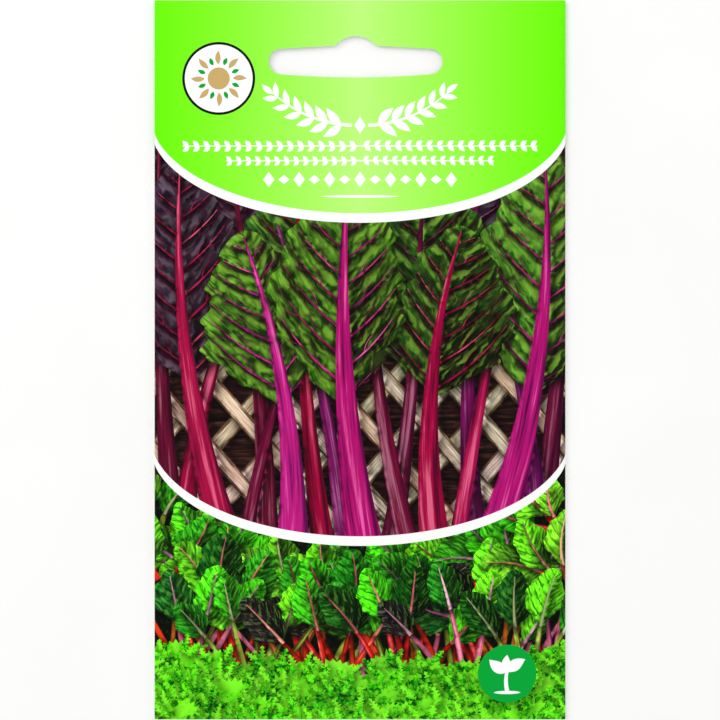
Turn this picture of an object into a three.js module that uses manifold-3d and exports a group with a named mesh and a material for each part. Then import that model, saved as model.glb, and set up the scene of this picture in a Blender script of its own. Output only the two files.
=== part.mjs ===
// A seed packet: one sheet of printed paper folded into a flat envelope, glued shut, with a
// euro hang slot punched through its header and loose chard seed clusters in its pocket.
//
// Frame, in millimetres: the packet lies on its back. The origin is under the middle of the
// packet on the surface it rests on, +X runs to the right of the printed front, +Y up the front
// to the hang slot, and +Z out of the front.
import * as THREE from "three";
import { mergeVertices } from "three/addons/utils/BufferGeometryUtils.js";
import Module from "manifold-3d";

const wasm = await Module();
wasm.setup();

// ---- Driving dimensions ----
const PACKET_WIDTH = 80;
const PACKET_HEIGHT = 140;
const PAPER = 0.12; // caliper of the coated paper
const LAYER_GAP = 0.08; // between two glued layers of paper
const LAP_OUTER_EDGE = 2; // x where the outer back wing ends, over the middle of the back
const LAP_INNER_EDGE = -8; // x where the inner back wing ends, under the outer one
const LAP_CLEAR = 1.1; // from the outer wing's edge to where the inner one has climbed over it
const LAP_CLIMB = 3.3; // how far the inner wing takes to climb
const FLAP_LENGTH = 14;
const FLAP_WIDTH = 78.4;
const FLAP_TAPER = 5; // how much narrower each end of the flap is at its tip
const FLAP_CORNER = 3;
const HEADER_HEIGHT = 24; // the glued part above the pocket
const RIM = 1.6; // stays pressed flat along each fold
const BULGE = 4.6; // how far the seeds lift the front of the pocket
const BULGE_PEAK_Y = -36;

const SLOT = {
  x: -0.85, // the punch sits a little to the left of the middle
  y: 58.1, // middle line of the slot's arms
  width: 33.9,
  endRadius: 2.5,
  armBow: 0.6, // the arms are this much fuller at the middle, above and below
  crownHalfWidth: 4,
  crownTop: 4.95, // above the middle line
};

const SEEDS = {
  count: 48,
  middle: [0, -36.5],
  spread: [26.5, 18.5], // half-axes of the ellipse that they lie in
  smallest: 1.55, // radius of a seed cluster
  largest: 2.15,
  longest: 0.12, // how much longer than wide one can be, as a share
  knobs: 0.07, // height of the knobs on it, as a share of its radius
  flatness: 0.76, // height over width
  clearance: 0.1, // above the paper that they lie on
  turn: 2.1, // radians from one to the next, so that no two lie alike
};

const GLUE = {
  clearance: 0.02, // to the paper above and below
  edge: 1, // how far a strip stays inside the paper that it closes
  headerMargin: 2.5, // to the packet's edges
  slotMargin: 1, // to the hang slot
  slotStop: 5, // the back seam ends this far under the slot
};

// ---- Levels of the layers, from the surface up ----
const FLAP_LOW = 0;
const WING_LOW = FLAP_LOW + PAPER + LAYER_GAP;
const LAP_LOW = WING_LOW + PAPER + LAYER_GAP;
const FRONT_LOW = LAP_LOW + PAPER + LAYER_GAP;
const HALF_PAPER = PAPER / 2;
const HALF_WIDTH = PACKET_WIDTH / 2;
const TOP_Y = PACKET_HEIGHT / 2;
const BOTTOM_Y = -PACKET_HEIGHT / 2;
const POCKET_TOP_Y = TOP_Y - HEADER_HEIGHT;
const POCKET_FOOT_Y = BOTTOM_Y + RIM + 1; // the front starts to rise here

const SIDE_FOLD_RADIUS = (FRONT_LOW - WING_LOW) / 2; // to the middle of the paper
const BOTTOM_FOLD_RADIUS = (FRONT_LOW - FLAP_LOW) / 2;
const SIDE_FOLD_X = HALF_WIDTH - SIDE_FOLD_RADIUS - HALF_PAPER;
const BOTTOM_FOLD_Y = BOTTOM_Y + BOTTOM_FOLD_RADIUS + HALF_PAPER;
const WING_BOTTOM_Y = BOTTOM_FOLD_Y + BOTTOM_FOLD_RADIUS + LAYER_GAP;
const LAP_CLIMB_START = LAP_OUTER_EDGE + LAP_CLEAR + LAP_CLIMB;

// ---- Materials ----
const finish = (color, roughness) =>
  new THREE.MeshStandardMaterial({ color, roughness, metalness: 0 });
const PRINTED_PAPER = finish(0x8fe63c, 0.4);
const DRIED_GLUE = finish(0xe8dfc0, 0.55);
const SEED_CORK = finish(0x9a7848, 0.9);

// ---- Solids ----
function solidOf(geometry) {
  const bare = geometry.clone().deleteAttribute("normal").deleteAttribute("uv");
  const merged = mergeVertices(bare, 1e-4);
  return new wasm.Manifold(
    new wasm.Mesh({
      numProp: 3,
      vertProperties: merged.getAttribute("position").array,
      triVerts: new Uint32Array(merged.index.array),
    }),
  );
}

function geometryOf(solid) {
  const { vertProperties, triVerts } = solid.getMesh();
  const geometry = new THREE.BufferGeometry();
  geometry.setAttribute("position", new THREE.BufferAttribute(vertProperties, 3));
  geometry.setIndex(new THREE.BufferAttribute(triVerts, 1));
  geometry.computeVertexNormals();
  return geometry;
}

// A flat outline in X and Y, from low to high in Z.
function plate(shape, low, high) {
  const options = { depth: high - low, bevelEnabled: false, curveSegments: 8 };
  return new THREE.ExtrudeGeometry(shape, options).translate(0, 0, low);
}

function rectangle(left, right, bottom, top) {
  const shape = new THREE.Shape();
  shape.moveTo(left, bottom).lineTo(right, bottom).lineTo(right, top).lineTo(left, top);
  return shape;
}

// ---- The hang slot ----
// Two round-ended arms that are a little fuller at the middle, with a crown over them that
// seats the hook. grow widens it all round.
function slotShape(grow = 0) {
  const radius = SLOT.endRadius + grow;
  const arm = SLOT.width / 2 - SLOT.endRadius;
  const crown = SLOT.crownHalfWidth + grow;
  const shoulder = radius + SLOT.armBow;
  const crownTop = SLOT.crownTop + grow;
  const rise = crownTop - shoulder;
  const crownRadius = (crown * crown + rise * rise) / (2 * rise);
  const half = Math.asin(crown / crownRadius);
  const { x, y } = SLOT;
  const shape = new THREE.Shape();
  shape.moveTo(x - arm, y - radius);
  shape.quadraticCurveTo(x, y - radius - 2 * SLOT.armBow, x + arm, y - radius);
  shape.absarc(x + arm, y, radius, -Math.PI / 2, Math.PI / 2);
  shape.lineTo(x + crown, y + shoulder);
  shape.absarc(x, y + crownTop - crownRadius, crownRadius, Math.PI / 2 - half, Math.PI / 2 + half);
  shape.lineTo(x - arm, y + radius);
  shape.absarc(x - arm, y, radius, Math.PI / 2, (3 * Math.PI) / 2);
  return shape;
}

// ---- The folded sheet ----
// How far the seeds lift the front above its pressed-flat rim: highest over the heap, steep
// towards the folds, and easing out flat at the foot of the header.
function frontRise(x, y) {
  const across = Math.min(1, Math.abs(x) / (SIDE_FOLD_X - RIM));
  const below = Math.min(1, (BULGE_PEAK_Y - y) / (BULGE_PEAK_Y - POCKET_FOOT_Y));
  const above = Math.min(1, (y - BULGE_PEAK_Y) / (POCKET_TOP_Y - BULGE_PEAK_Y));
  const along = y < BULGE_PEAK_Y ? 1 - below ** 3 : (1 - above ** 2) ** 2;
  return BULGE * (1 - across ** 3) * along;
}

// The sheet's middle line across the packet at one height y, from the free edge of the outer
// wing, round the left fold, over the front, round the right fold, to the free edge of the
// inner wing. Each point has the direction that the sheet's outer face looks in.
function sheetSection(y) {
  const points = [];
  const add = (x, z, nx, nz) => points.push({ x, z, nx, nz });
  const wingZ = WING_LOW + HALF_PAPER;
  const frontZ = FRONT_LOW + HALF_PAPER;
  const foldZ = (wingZ + frontZ) / 2;
  const bendSteps = 4;
  const frontColumns = 20;

  add(LAP_OUTER_EDGE, wingZ, 0, -1);
  for (let i = 0; i <= bendSteps; i++) {
    const turn = -Math.PI / 2 - (Math.PI * i) / bendSteps;
    const [nx, nz] = [Math.cos(turn), Math.sin(turn)];
    add(-SIDE_FOLD_X + SIDE_FOLD_RADIUS * nx, foldZ + SIDE_FOLD_RADIUS * nz, nx, nz);
  }
  const span = SIDE_FOLD_X - RIM;
  for (let i = 0; i <= frontColumns; i++) {
    const x = -span + (2 * span * i) / frontColumns;
    add(x, frontZ + frontRise(x, y), 0, 1);
  }
  for (let i = 0; i <= bendSteps; i++) {
    const turn = Math.PI / 2 - (Math.PI * i) / bendSteps;
    const [nx, nz] = [Math.cos(turn), Math.sin(turn)];
    add(SIDE_FOLD_X + SIDE_FOLD_RADIUS * nx, foldZ + SIDE_FOLD_RADIUS * nz, nx, nz);
  }
  add(LAP_CLIMB_START, wingZ, 0, -1);
  add(LAP_OUTER_EDGE + LAP_CLEAR, LAP_LOW + HALF_PAPER, 0, -1);
  add(LAP_INNER_EDGE, LAP_LOW + HALF_PAPER, 0, -1);
  return points;
}

// Heights at which the section is taken: close together over the pocket, none needed in the
// flat header.
function sheetRows() {
  const rows = [WING_BOTTOM_Y];
  const pocketRows = 28;
  for (let i = 0; i <= pocketRows; i++) {
    rows.push(POCKET_FOOT_Y + ((POCKET_TOP_Y - POCKET_FOOT_Y) * i) / pocketRows);
  }
  rows.push(TOP_Y);
  return rows;
}

// Front and both wings as one closed skin: outer faces, inner faces, and the cut edges.
function wrappedSheet() {
  const rows = sheetRows();
  const positions = [];
  for (const y of rows) {
    for (const side of [HALF_PAPER, -HALF_PAPER]) {
      for (const p of sheetSection(y)) {
        positions.push(p.x + side * p.nx, y, p.z + side * p.nz);
      }
    }
  }
  const columns = sheetSection(0).length;
  const outer = (row, column) => row * 2 * columns + column;
  const inner = (row, column) => outer(row, column) + columns;
  const index = [];
  const quad = (a, b, c, d) => index.push(a, b, c, a, c, d);
  for (let r = 0; r < rows.length - 1; r++) {
    for (let c = 0; c < columns - 1; c++) {
      quad(outer(r, c), outer(r, c + 1), outer(r + 1, c + 1), outer(r + 1, c));
      quad(inner(r, c), inner(r + 1, c), inner(r + 1, c + 1), inner(r, c + 1));
    }
    const last = columns - 1;
    quad(outer(r, 0), outer(r + 1, 0), inner(r + 1, 0), inner(r, 0));
    quad(outer(r, last), inner(r, last), inner(r + 1, last), outer(r + 1, last));
  }
  const top = rows.length - 1;
  for (let c = 0; c < columns - 1; c++) {
    quad(outer(0, c), inner(0, c), inner(0, c + 1), outer(0, c + 1));
    quad(outer(top, c), outer(top, c + 1), inner(top, c + 1), inner(top, c));
  }
  const geometry = new THREE.BufferGeometry();
  geometry.setAttribute("position", new THREE.Float32BufferAttribute(positions, 3));
  geometry.setIndex(index);
  return geometry;
}

// The bottom fold: a strip of the front, bent round and under, drawn in Y and Z and swept
// across the packet.
function bottomFold() {
  const foldZ = (FLAP_LOW + FRONT_LOW) / 2 + HALF_PAPER;
  const outerRadius = BOTTOM_FOLD_RADIUS + HALF_PAPER;
  const innerRadius = BOTTOM_FOLD_RADIUS - HALF_PAPER;
  const overlap = 0.8; // runs this far into the front and the flap that it joins
  const reach = WING_BOTTOM_Y + overlap;
  const up = Math.PI / 2;
  const section = new THREE.Shape();
  section.moveTo(reach, FRONT_LOW + PAPER);
  section.lineTo(BOTTOM_FOLD_Y, foldZ + outerRadius);
  section.absarc(BOTTOM_FOLD_Y, foldZ, outerRadius, up, 3 * up);
  section.lineTo(reach, FLAP_LOW);
  section.lineTo(reach, FLAP_LOW + PAPER);
  section.lineTo(BOTTOM_FOLD_Y, foldZ - innerRadius);
  section.absarc(BOTTOM_FOLD_Y, foldZ, innerRadius, 3 * up, up, true);
  section.lineTo(reach, FRONT_LOW);
  const options = { depth: FLAP_WIDTH, bevelEnabled: false, curveSegments: 5 };
  const strip = new THREE.ExtrudeGeometry(section, options);
  const axes = new THREE.Matrix4().makeBasis(
    new THREE.Vector3(0, 1, 0),
    new THREE.Vector3(0, 0, 1),
    new THREE.Vector3(1, 0, 0),
  );
  return strip.applyMatrix4(axes).translate(-FLAP_WIDTH / 2, 0, 0);
}

// The glued flap under the back, narrower at its tip, with rounded corners.
function flapShape() {
  const half = FLAP_WIDTH / 2;
  const tip = half - FLAP_TAPER;
  const tipY = BOTTOM_Y + FLAP_LENGTH;
  const cornerY = tipY - FLAP_CORNER;
  const shape = new THREE.Shape();
  shape.moveTo(-half, BOTTOM_FOLD_Y);
  shape.lineTo(half, BOTTOM_FOLD_Y);
  shape.lineTo(tip, cornerY);
  shape.quadraticCurveTo(tip, tipY, tip - FLAP_CORNER, tipY);
  shape.lineTo(-tip + FLAP_CORNER, tipY);
  shape.quadraticCurveTo(-tip, tipY, -tip, cornerY);
  return shape;
}

// The whole sheet in one solid, with the hang slot punched through all its layers.
function paperEnvelope() {
  const punch = plate(slotShape(), FLAP_LOW - 1, FRONT_LOW + 1);
  const flap = plate(flapShape(), FLAP_LOW, FLAP_LOW + PAPER);
  return solidOf(wrappedSheet())
    .add(solidOf(bottomFold()))
    .add(solidOf(flap))
    .subtract(solidOf(punch));
}

// ---- Glue ----
// Closes the wings on each other along the middle of the back.
function backSeamGlue() {
  const [left, right] = [LAP_INNER_EDGE + GLUE.edge, LAP_OUTER_EDGE - GLUE.edge];
  const strip = rectangle(left, right, WING_BOTTOM_Y + GLUE.edge, SLOT.y - GLUE.slotStop);
  return plate(strip, WING_LOW + PAPER + GLUE.clearance, LAP_LOW - GLUE.clearance);
}

// Holds the flap to the back.
function flapGlue() {
  const half = FLAP_WIDTH / 2 - FLAP_TAPER - 2 * GLUE.edge;
  const top = BOTTOM_Y + FLAP_LENGTH - 2 * GLUE.edge;
  const strip = rectangle(-half, half, WING_BOTTOM_Y + GLUE.edge, top);
  return plate(strip, FLAP_LOW + PAPER + GLUE.clearance, WING_LOW - GLUE.clearance);
}

// Closes the header over its whole area, thinner where the wings lap, and kept back from the
// hang slot.
function headerGlue() {
  const half = HALF_WIDTH - GLUE.headerMargin;
  const low = WING_LOW + PAPER + GLUE.clearance;
  const lapLow = LAP_LOW + PAPER + GLUE.clearance;
  const high = FRONT_LOW - GLUE.clearance;
  const [bottom, top] = [POCKET_TOP_Y + GLUE.edge, TOP_Y - GLUE.headerMargin];
  const lapRight = LAP_CLIMB_START + GLUE.edge / 2;
  const lapLeft = LAP_INNER_EDGE - GLUE.edge / 2;
  return solidOf(plate(rectangle(-half, half, bottom, top), lapLow, high))
    .add(solidOf(plate(rectangle(-half, lapLeft, bottom, top), low, high)))
    .add(solidOf(plate(rectangle(lapRight, half, bottom, top), low, high)))
    .subtract(solidOf(plate(slotShape(GLUE.slotMargin), low - 1, high + 1)));
}

// ---- Seeds ----
// The same shapes each time: a small repeatable sequence of numbers from 0 to 1.
function numbersFrom(start) {
  let state = start;
  const next = () => {
    state = (state * 16807) % 2147483647;
    return state / 2147483647;
  };
  for (let i = 0; i < 3; i++) next(); // neighbouring starts give alike first numbers
  return next;
}

// A corky seed cluster: a flattened ball with a few knobs and hollows, lying on the paper.
function seedCluster(index) {
  const next = numbersFrom(7919 * (index + 1));
  const size = SEEDS.smallest + (SEEDS.largest - SEEDS.smallest) * next();
  const [phaseX, phaseY, phaseZ] = [next(), next(), next()].map((v) => 2 * Math.PI * v);
  const length = 1 + SEEDS.longest * next();
  const geometry = new THREE.IcosahedronGeometry(1, 1);
  const position = geometry.getAttribute("position");
  const point = new THREE.Vector3();
  for (let i = 0; i < position.count; i++) {
    point.fromBufferAttribute(position, i);
    const waveX = Math.sin(3.1 * point.x + phaseX);
    const waveY = Math.sin(3.7 * point.y + phaseY);
    const waveZ = Math.sin(2.9 * point.z + phaseZ);
    point.multiplyScalar(size * (1 + SEEDS.knobs * (waveX + waveY + waveZ)));
    position.setXYZ(i, point.x * length, point.y, point.z * SEEDS.flatness);
  }
  geometry.computeBoundingBox();
  return geometry.translate(0, 0, -geometry.boundingBox.min.z);
}

// Spread like the florets of a sunflower, so that they keep clear of each other.
function placeSeed(mesh, index) {
  const goldenAngle = Math.PI * (3 - Math.sqrt(5));
  const reach = Math.sqrt((index + 0.5) / SEEDS.count);
  const turn = index * goldenAngle;
  const [middleX, middleY] = SEEDS.middle;
  const [spreadX, spreadY] = SEEDS.spread;
  const floor = LAP_LOW + PAPER + SEEDS.clearance;
  mesh.position.set(
    middleX + spreadX * reach * Math.cos(turn),
    middleY + spreadY * reach * Math.sin(turn),
    floor,
  );
  mesh.rotation.z = SEEDS.turn * index;
}

// ---- Assembly ----
const packet = new THREE.Group();

function addPiece(name, geometry, material) {
  const mesh = new THREE.Mesh(geometry, material);
  mesh.name = name;
  packet.add(mesh);
  return mesh;
}

addPiece("paper_envelope", geometryOf(paperEnvelope()), PRINTED_PAPER);
addPiece("back_seam_glue", backSeamGlue(), DRIED_GLUE);
addPiece("bottom_flap_glue", flapGlue(), DRIED_GLUE);
addPiece("header_glue", geometryOf(headerGlue()), DRIED_GLUE);
for (let i = 0; i < SEEDS.count; i++) {
  const name = `seed_${String(i + 1).padStart(2, "0")}`;
  placeSeed(addPiece(name, seedCluster(i), SEED_CORK), i);
}

export default packet;
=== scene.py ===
# %% [markdown]
# # A seed packet
# A garden seed packet is one sheet of coated paper. It is printed flat, cut and punched, folded
# round itself, and glued along the back, under the foot and in the header. This script follows
# the same order: it draws the print on the flat blank, cuts the blank, folds it round the seeds,
# and gives the paper and each ink its own finish.
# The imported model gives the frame: everything below is in metres, with the packet on its back,
# +X to the right of its front, +Y up towards the hang slot and +Z out of the front.

# %% Load the frame
import math
import random

import bpy
import numpy as np
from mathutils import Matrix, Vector
from mathutils.geometry import delaunay_2d_cdt


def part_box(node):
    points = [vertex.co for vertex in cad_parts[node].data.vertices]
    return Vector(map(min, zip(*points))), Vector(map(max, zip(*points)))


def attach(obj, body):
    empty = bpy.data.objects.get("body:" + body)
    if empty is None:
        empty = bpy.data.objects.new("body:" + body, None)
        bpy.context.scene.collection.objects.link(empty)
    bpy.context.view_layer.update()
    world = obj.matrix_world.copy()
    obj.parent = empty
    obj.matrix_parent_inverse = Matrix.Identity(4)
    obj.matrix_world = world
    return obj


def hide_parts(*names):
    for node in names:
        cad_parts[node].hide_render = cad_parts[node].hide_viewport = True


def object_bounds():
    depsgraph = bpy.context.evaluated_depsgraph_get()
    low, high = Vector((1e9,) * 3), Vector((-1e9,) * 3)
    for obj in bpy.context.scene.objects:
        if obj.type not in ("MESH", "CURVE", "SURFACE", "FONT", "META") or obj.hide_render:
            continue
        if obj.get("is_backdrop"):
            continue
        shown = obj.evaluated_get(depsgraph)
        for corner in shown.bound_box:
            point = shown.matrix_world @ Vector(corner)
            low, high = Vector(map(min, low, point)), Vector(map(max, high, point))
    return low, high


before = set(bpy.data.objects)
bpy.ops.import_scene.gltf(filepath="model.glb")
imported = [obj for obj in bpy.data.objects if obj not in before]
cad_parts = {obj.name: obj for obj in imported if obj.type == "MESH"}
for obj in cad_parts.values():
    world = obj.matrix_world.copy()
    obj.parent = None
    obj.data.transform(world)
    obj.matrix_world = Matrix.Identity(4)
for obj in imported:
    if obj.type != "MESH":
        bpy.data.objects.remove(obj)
CAD_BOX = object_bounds()
print("nodes in the frame:", len(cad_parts))

# %% [markdown]
# ## Camera
# The packet fills the picture from top to bottom, so the camera looks straight down on it. A long
# lens from well above keeps the edges parallel, as on a flat product picture.

# %% Camera
MM = 0.001
PACKET_HIGH = 140.0
LENS = 110.0
SENSOR = 36.0
FRONT_LEVEL = 0.72  # mm, the flat rim of the front, which sets the packet's outline
SPAN = PACKET_HIGH * 1.001  # a hair of floor above and below
camera_height = (SPAN * LENS / SENSOR + FRONT_LEVEL) * MM
bpy.ops.object.camera_add(location=(0, 0, camera_height), rotation=(0, 0, 0))
camera = bpy.context.object
camera.name = "camera"
camera.data.lens = LENS
camera.data.sensor_width = SENSOR
bpy.context.scene.camera = camera
print("camera height (m):", round(camera_height, 4))

# %% [markdown]
# ## Light
# Soft light from all round is what shows a print best, because a coated sheet mirrors any small
# lamp. A pale sky does most of the work. One large lamp from the upper left gives the pocket its
# gentle shading, and a low one along the sheet picks out the seeds under the paper.
# The Standard view keeps printed colours as they are: the default one would grey the bright ink.

# %% Light
SKY_STRENGTH = 0.87
scene = bpy.context.scene
scene.view_settings.view_transform = "Standard"
sky = bpy.data.worlds.new("pale_sky")
sky.use_nodes = True
sky.node_tree.nodes["Background"].inputs["Color"].default_value = (1.0, 1.0, 1.0, 1.0)
sky.node_tree.nodes["Background"].inputs["Strength"].default_value = SKY_STRENGTH
scene.world = sky


def soft_lamp(name, place, size, power):
    """A square lamp that faces the middle of the packet."""
    bpy.ops.object.light_add(type="AREA", location=place)
    lamp = bpy.context.object
    lamp.name = name
    lamp.data.shape = "SQUARE"
    lamp.data.size = size
    lamp.data.energy = power
    lamp.rotation_euler = (-Vector(place)).to_track_quat("-Z", "Y").to_euler()


soft_lamp("key_lamp", place=(-0.62, 0.46, 0.50), size=0.40, power=2.3)
soft_lamp("low_lamp", place=(0.55, 0.25, 0.20), size=0.22, power=0.35)

# %% [markdown]
# ## Helpers
# Every operator acts on what is selected, and the CAD nodes come in selected, so each step starts
# by deselecting all. Materials are built from nodes, and these short helpers keep them readable:
# one makes a node, two feed its sockets, one does arithmetic, and others mix two colours, tint
# one, make a colour ramp or a pattern, or lift the surface by a pattern.

# %% Selection and node helpers
def only(obj):
    """Makes obj the one selected and active object."""
    bpy.ops.object.select_all(action="DESELECT")
    obj.select_set(True)
    bpy.context.view_layer.objects.active = obj


def srgb(red, green, blue):
    """A colour as picked on a screen, 0 to 255, as the linear numbers that shaders use."""
    linear = []
    for part in (red, green, blue):
        share = part / 255
        linear.append(share / 12.92 if share <= 0.04045 else ((share + 0.055) / 1.055) ** 2.4)
    return (*linear, 1.0)


def add_node(tree, kind, **settings):
    made = tree.nodes.new(kind)
    for key, setting in settings.items():
        setattr(made, key, setting)
    return made


def feed(tree, socket, source):
    """Links a socket, or sets its value where the source is a plain number or colour."""
    if isinstance(source, bpy.types.NodeSocket):
        tree.links.new(source, socket)
    else:
        socket.default_value = source


def feed_all(tree, made, *sources):
    """Feeds a node's first sockets in order, and gives its first output."""
    for socket, source in zip(made.inputs, sources):
        feed(tree, socket, source)
    return made.outputs[0]


def sums(tree, operation, *sources):
    return feed_all(tree, add_node(tree, "ShaderNodeMath", operation=operation), *sources)


def combine(tree, x, y, z):
    return feed_all(tree, add_node(tree, "ShaderNodeCombineXYZ"), x, y, z)


def split(tree, vector):
    made = add_node(tree, "ShaderNodeSeparateXYZ")
    feed(tree, made.inputs[0], vector)
    return made.outputs


def blend_colour(tree, amount, first, second, way="MIX"):
    made = add_node(tree, "ShaderNodeMix", data_type="RGBA", blend_type=way)
    feed(tree, made.inputs[0], amount)
    feed(tree, made.inputs[6], first)
    feed(tree, made.inputs[7], second)
    return made.outputs[2]


def tinted(tree, colour, tint):
    """colour multiplied by a tint, or by a grey where the tint is a number from a node."""
    if isinstance(tint, bpy.types.NodeSocket):
        tint = combine(tree, tint, tint, tint)
    return blend_colour(tree, 1.0, colour, tint, "MULTIPLY")


def smooth_step(tree, source, low, high, to_low=0.0, to_high=1.0):
    made = add_node(tree, "ShaderNodeMapRange", interpolation_type="SMOOTHSTEP")
    return feed_all(tree, made, source, low, high, to_low, to_high)


def colour_ramp(tree, source, *stops):
    made = add_node(tree, "ShaderNodeValToRGB")
    while len(made.color_ramp.elements) < len(stops):
        made.color_ramp.elements.new(0.5)
    for element, (place, colour) in zip(made.color_ramp.elements, stops):
        element.position = place
        element.color = colour
    return feed_all(tree, made, source)


def noise(tree, vector, scale, detail=2.0, roughness=0.5):
    made = add_node(tree, "ShaderNodeTexNoise")
    feed(tree, made.inputs["Vector"], vector)
    made.inputs["Scale"].default_value = scale
    made.inputs["Detail"].default_value = detail
    made.inputs["Roughness"].default_value = roughness
    return made.outputs[0]


def cells(tree, vector, scale, feature="F1"):
    made = add_node(tree, "ShaderNodeTexVoronoi", feature=feature)
    feed(tree, made.inputs["Vector"], vector)
    made.inputs["Scale"].default_value = scale
    return made.outputs["Distance"]


def object_place(tree):
    return add_node(tree, "ShaderNodeTexCoord").outputs["Object"]


def bump(tree, shader, height, strength, distance):
    """Lifts the surface by a height pattern; distance is in metres."""
    lift = add_node(tree, "ShaderNodeBump")
    lift.inputs["Strength"].default_value = strength
    lift.inputs["Distance"].default_value = distance
    feed(tree, lift.inputs["Height"], height)
    feed(tree, shader.inputs["Normal"], lift.outputs[0])


def new_material(name):
    material = bpy.data.materials.new(name)
    material.use_nodes = True
    return material, material.node_tree, material.node_tree.nodes["Principled BSDF"]


print("helpers ready")

# %% [markdown]
# ## Floor
# A plain pale studio floor: one large flat square. Its paint has a faint mottling that keeps it
# from looking like nothing at all.

# %% Floor
FLOOR_HALF = 0.9
JUST_UNDER = -0.00002  # a hair below the packet, so that the two never share a plane
only(camera)
bpy.ops.mesh.primitive_plane_add(size=2 * FLOOR_HALF, location=(0, 0, JUST_UNDER))
floor = bpy.context.object
floor.name = "studio_floor"
bpy.ops.object.transform_apply(location=True)
paint, tree, shader = new_material("pale_floor_paint")
mottle = noise(tree, object_place(tree), 30.0, 3.0)
feed(tree, shader.inputs["Base Color"], colour_ramp(
    tree, mottle, (0.3, srgb(248, 248, 247)), (0.7, srgb(251, 251, 250))))
shader.inputs["Roughness"].default_value = 0.85
floor.data.materials.append(paint)
floor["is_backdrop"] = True
print("floor is", 2 * FLOOR_HALF, "m across")

# %% [markdown]
# ## Seeds
# What is sold as a chard seed is a corky cluster of two or three seeds: a knobbly, flattened
# lump. A sphere with a noise on it would look like a pebble. Here the points of an icosphere are
# first moved out into knobs and in to pits, each along its own direction. Then a subdivision
# rounds the lump, and a displace modifier with a cloud pattern roughens the cork. It is modelled
# once, and each copy gets its own mesh, turned and sized to the place that the frame gives it.

# %% One seed cluster
# Each knob: its direction and how far it stands out. Each pit: its direction and its depth.
KNOBS = [
    ((1, 0.2, 0.3), 0.34), ((-0.6, 0.8, 0.1), 0.30), ((-0.5, -0.8, 0.4), 0.26),
    ((0.3, 0.4, -1), 0.22), ((0.35, -1, -0.1), 0.2), ((-0.9, 0, 0.5), 0.18), ((0.3, 0.6, 0.8), 0.16)]
PITS = [((0.1, 0.1, 1), 0.30), ((0.7, -0.6, 0.4), 0.26), ((-0.2, 0.9, 0.5), 0.2)]
KNOB_TIGHT, PIT_TIGHT = 13.0, 26.0  # the larger, the smaller the spot that moves


def spot(ways, direction, tight):
    """1 for a point that lies in a direction, and less and less for those beside it."""
    aim = np.array(direction) / np.linalg.norm(direction)
    return np.exp(tight * (ways @ aim - 1))


bpy.ops.object.select_all(action="DESELECT")
bpy.ops.mesh.primitive_ico_sphere_add(subdivisions=3, radius=1.0)
cluster = bpy.context.object
cluster.name = "seed_cluster_model"
ways = np.array([v.co for v in cluster.data.vertices])
reach = np.ones(len(ways))
for direction, rise in KNOBS:
    reach += rise * spot(ways, direction, KNOB_TIGHT)
for direction, drop in PITS:
    reach -= drop * spot(ways, direction, PIT_TIGHT)
cluster.data.vertices.foreach_set("co", (ways * reach[:, None]).ravel())
cluster.data.update()
rounding = cluster.modifiers.new("rounding", "SUBSURF")
rounding.levels = rounding.render_levels = 1
cork = bpy.data.textures.new("cork_lumps", type="CLOUDS")
cork.noise_scale = 0.32
lumps = cluster.modifiers.new("lumps", "DISPLACE")
lumps.texture = cork
lumps.strength = 0.42
lumps.mid_level = 0.5
for modifier in ("rounding", "lumps"):
    bpy.ops.object.modifier_apply(modifier=modifier)
print("faces in a seed cluster:", len(cluster.data.polygons))

# %% [markdown]
# Cork is matt and dry. Its colour runs from straw to dark brown in patches, with fine fibres over
# them, so two noises of different size drive the ramp, and the finer one also lifts the surface.

# %% Seed cork finish
cork_finish, tree, shader = new_material("seed_cork")
where = object_place(tree)
patches = noise(tree, where, 700.0, 3.0)
fibres = noise(tree, where, 5200.0, 4.0, 0.7)
both = sums(tree, "MULTIPLY_ADD", fibres, 0.4, sums(tree, "MULTIPLY", patches, 0.6))
feed(tree, shader.inputs["Base Color"], colour_ramp(
    tree, both, (0.3, srgb(78, 52, 30)), (0.5, srgb(148, 112, 70)), (0.7, srgb(206, 178, 128))))
feed(tree, shader.inputs["Roughness"], smooth_step(tree, both, 0.3, 0.7, 0.95, 0.8))
bump(tree, shader, fibres, strength=0.6, distance=0.0001)
cluster.data.materials.append(cork_finish)
print("cork finish on", cluster.name)

# %% Seeds in the pocket
TURN_STEP = 2.1  # radians from each seed to the next, so that no two look alike
seed_names = sorted(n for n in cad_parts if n.startswith("seed_"))
seeds, seed_tops = [], []
for number, name in enumerate(seed_names):
    low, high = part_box(name)
    middle = (low + high) / 2
    half = (high - low) / 2
    seed = bpy.data.objects.new(name.replace("seed_", "seed_cluster_"), cluster.data.copy())
    scene.collection.objects.link(seed)
    points = np.array([v.co for v in seed.data.vertices])
    turn = TURN_STEP * number
    turned = points.copy()
    turned[:, 0] = points[:, 0] * math.cos(turn) - points[:, 1] * math.sin(turn)
    turned[:, 1] = points[:, 0] * math.sin(turn) + points[:, 1] * math.cos(turn)
    turned -= (turned.max(0) + turned.min(0)) / 2
    turned /= turned.max(0)
    placed = turned * np.array(half) + np.array(middle)
    seed.data.vertices.foreach_set("co", placed.ravel())
    seed.data.update()
    only(seed)
    bpy.ops.object.shade_smooth()
    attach(seed, "root")
    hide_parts(name)
    seeds.append(seed)
    seed_tops.append((middle.x / MM, middle.y / MM, half.x / MM, half.y / MM, high.z / MM))
bpy.data.objects.remove(cluster)
print("seeds:", len(seed_tops), "tallest (mm):", round(max(t[4] for t in seed_tops), 2))

# %% [markdown]
# ## Glue
# The three glue films stay as the frame has them. Dried glue on paper is a cloudy, slightly
# yellow film with tiny bubbles, so a noise varies its colour and a cell pattern pits it.

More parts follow.
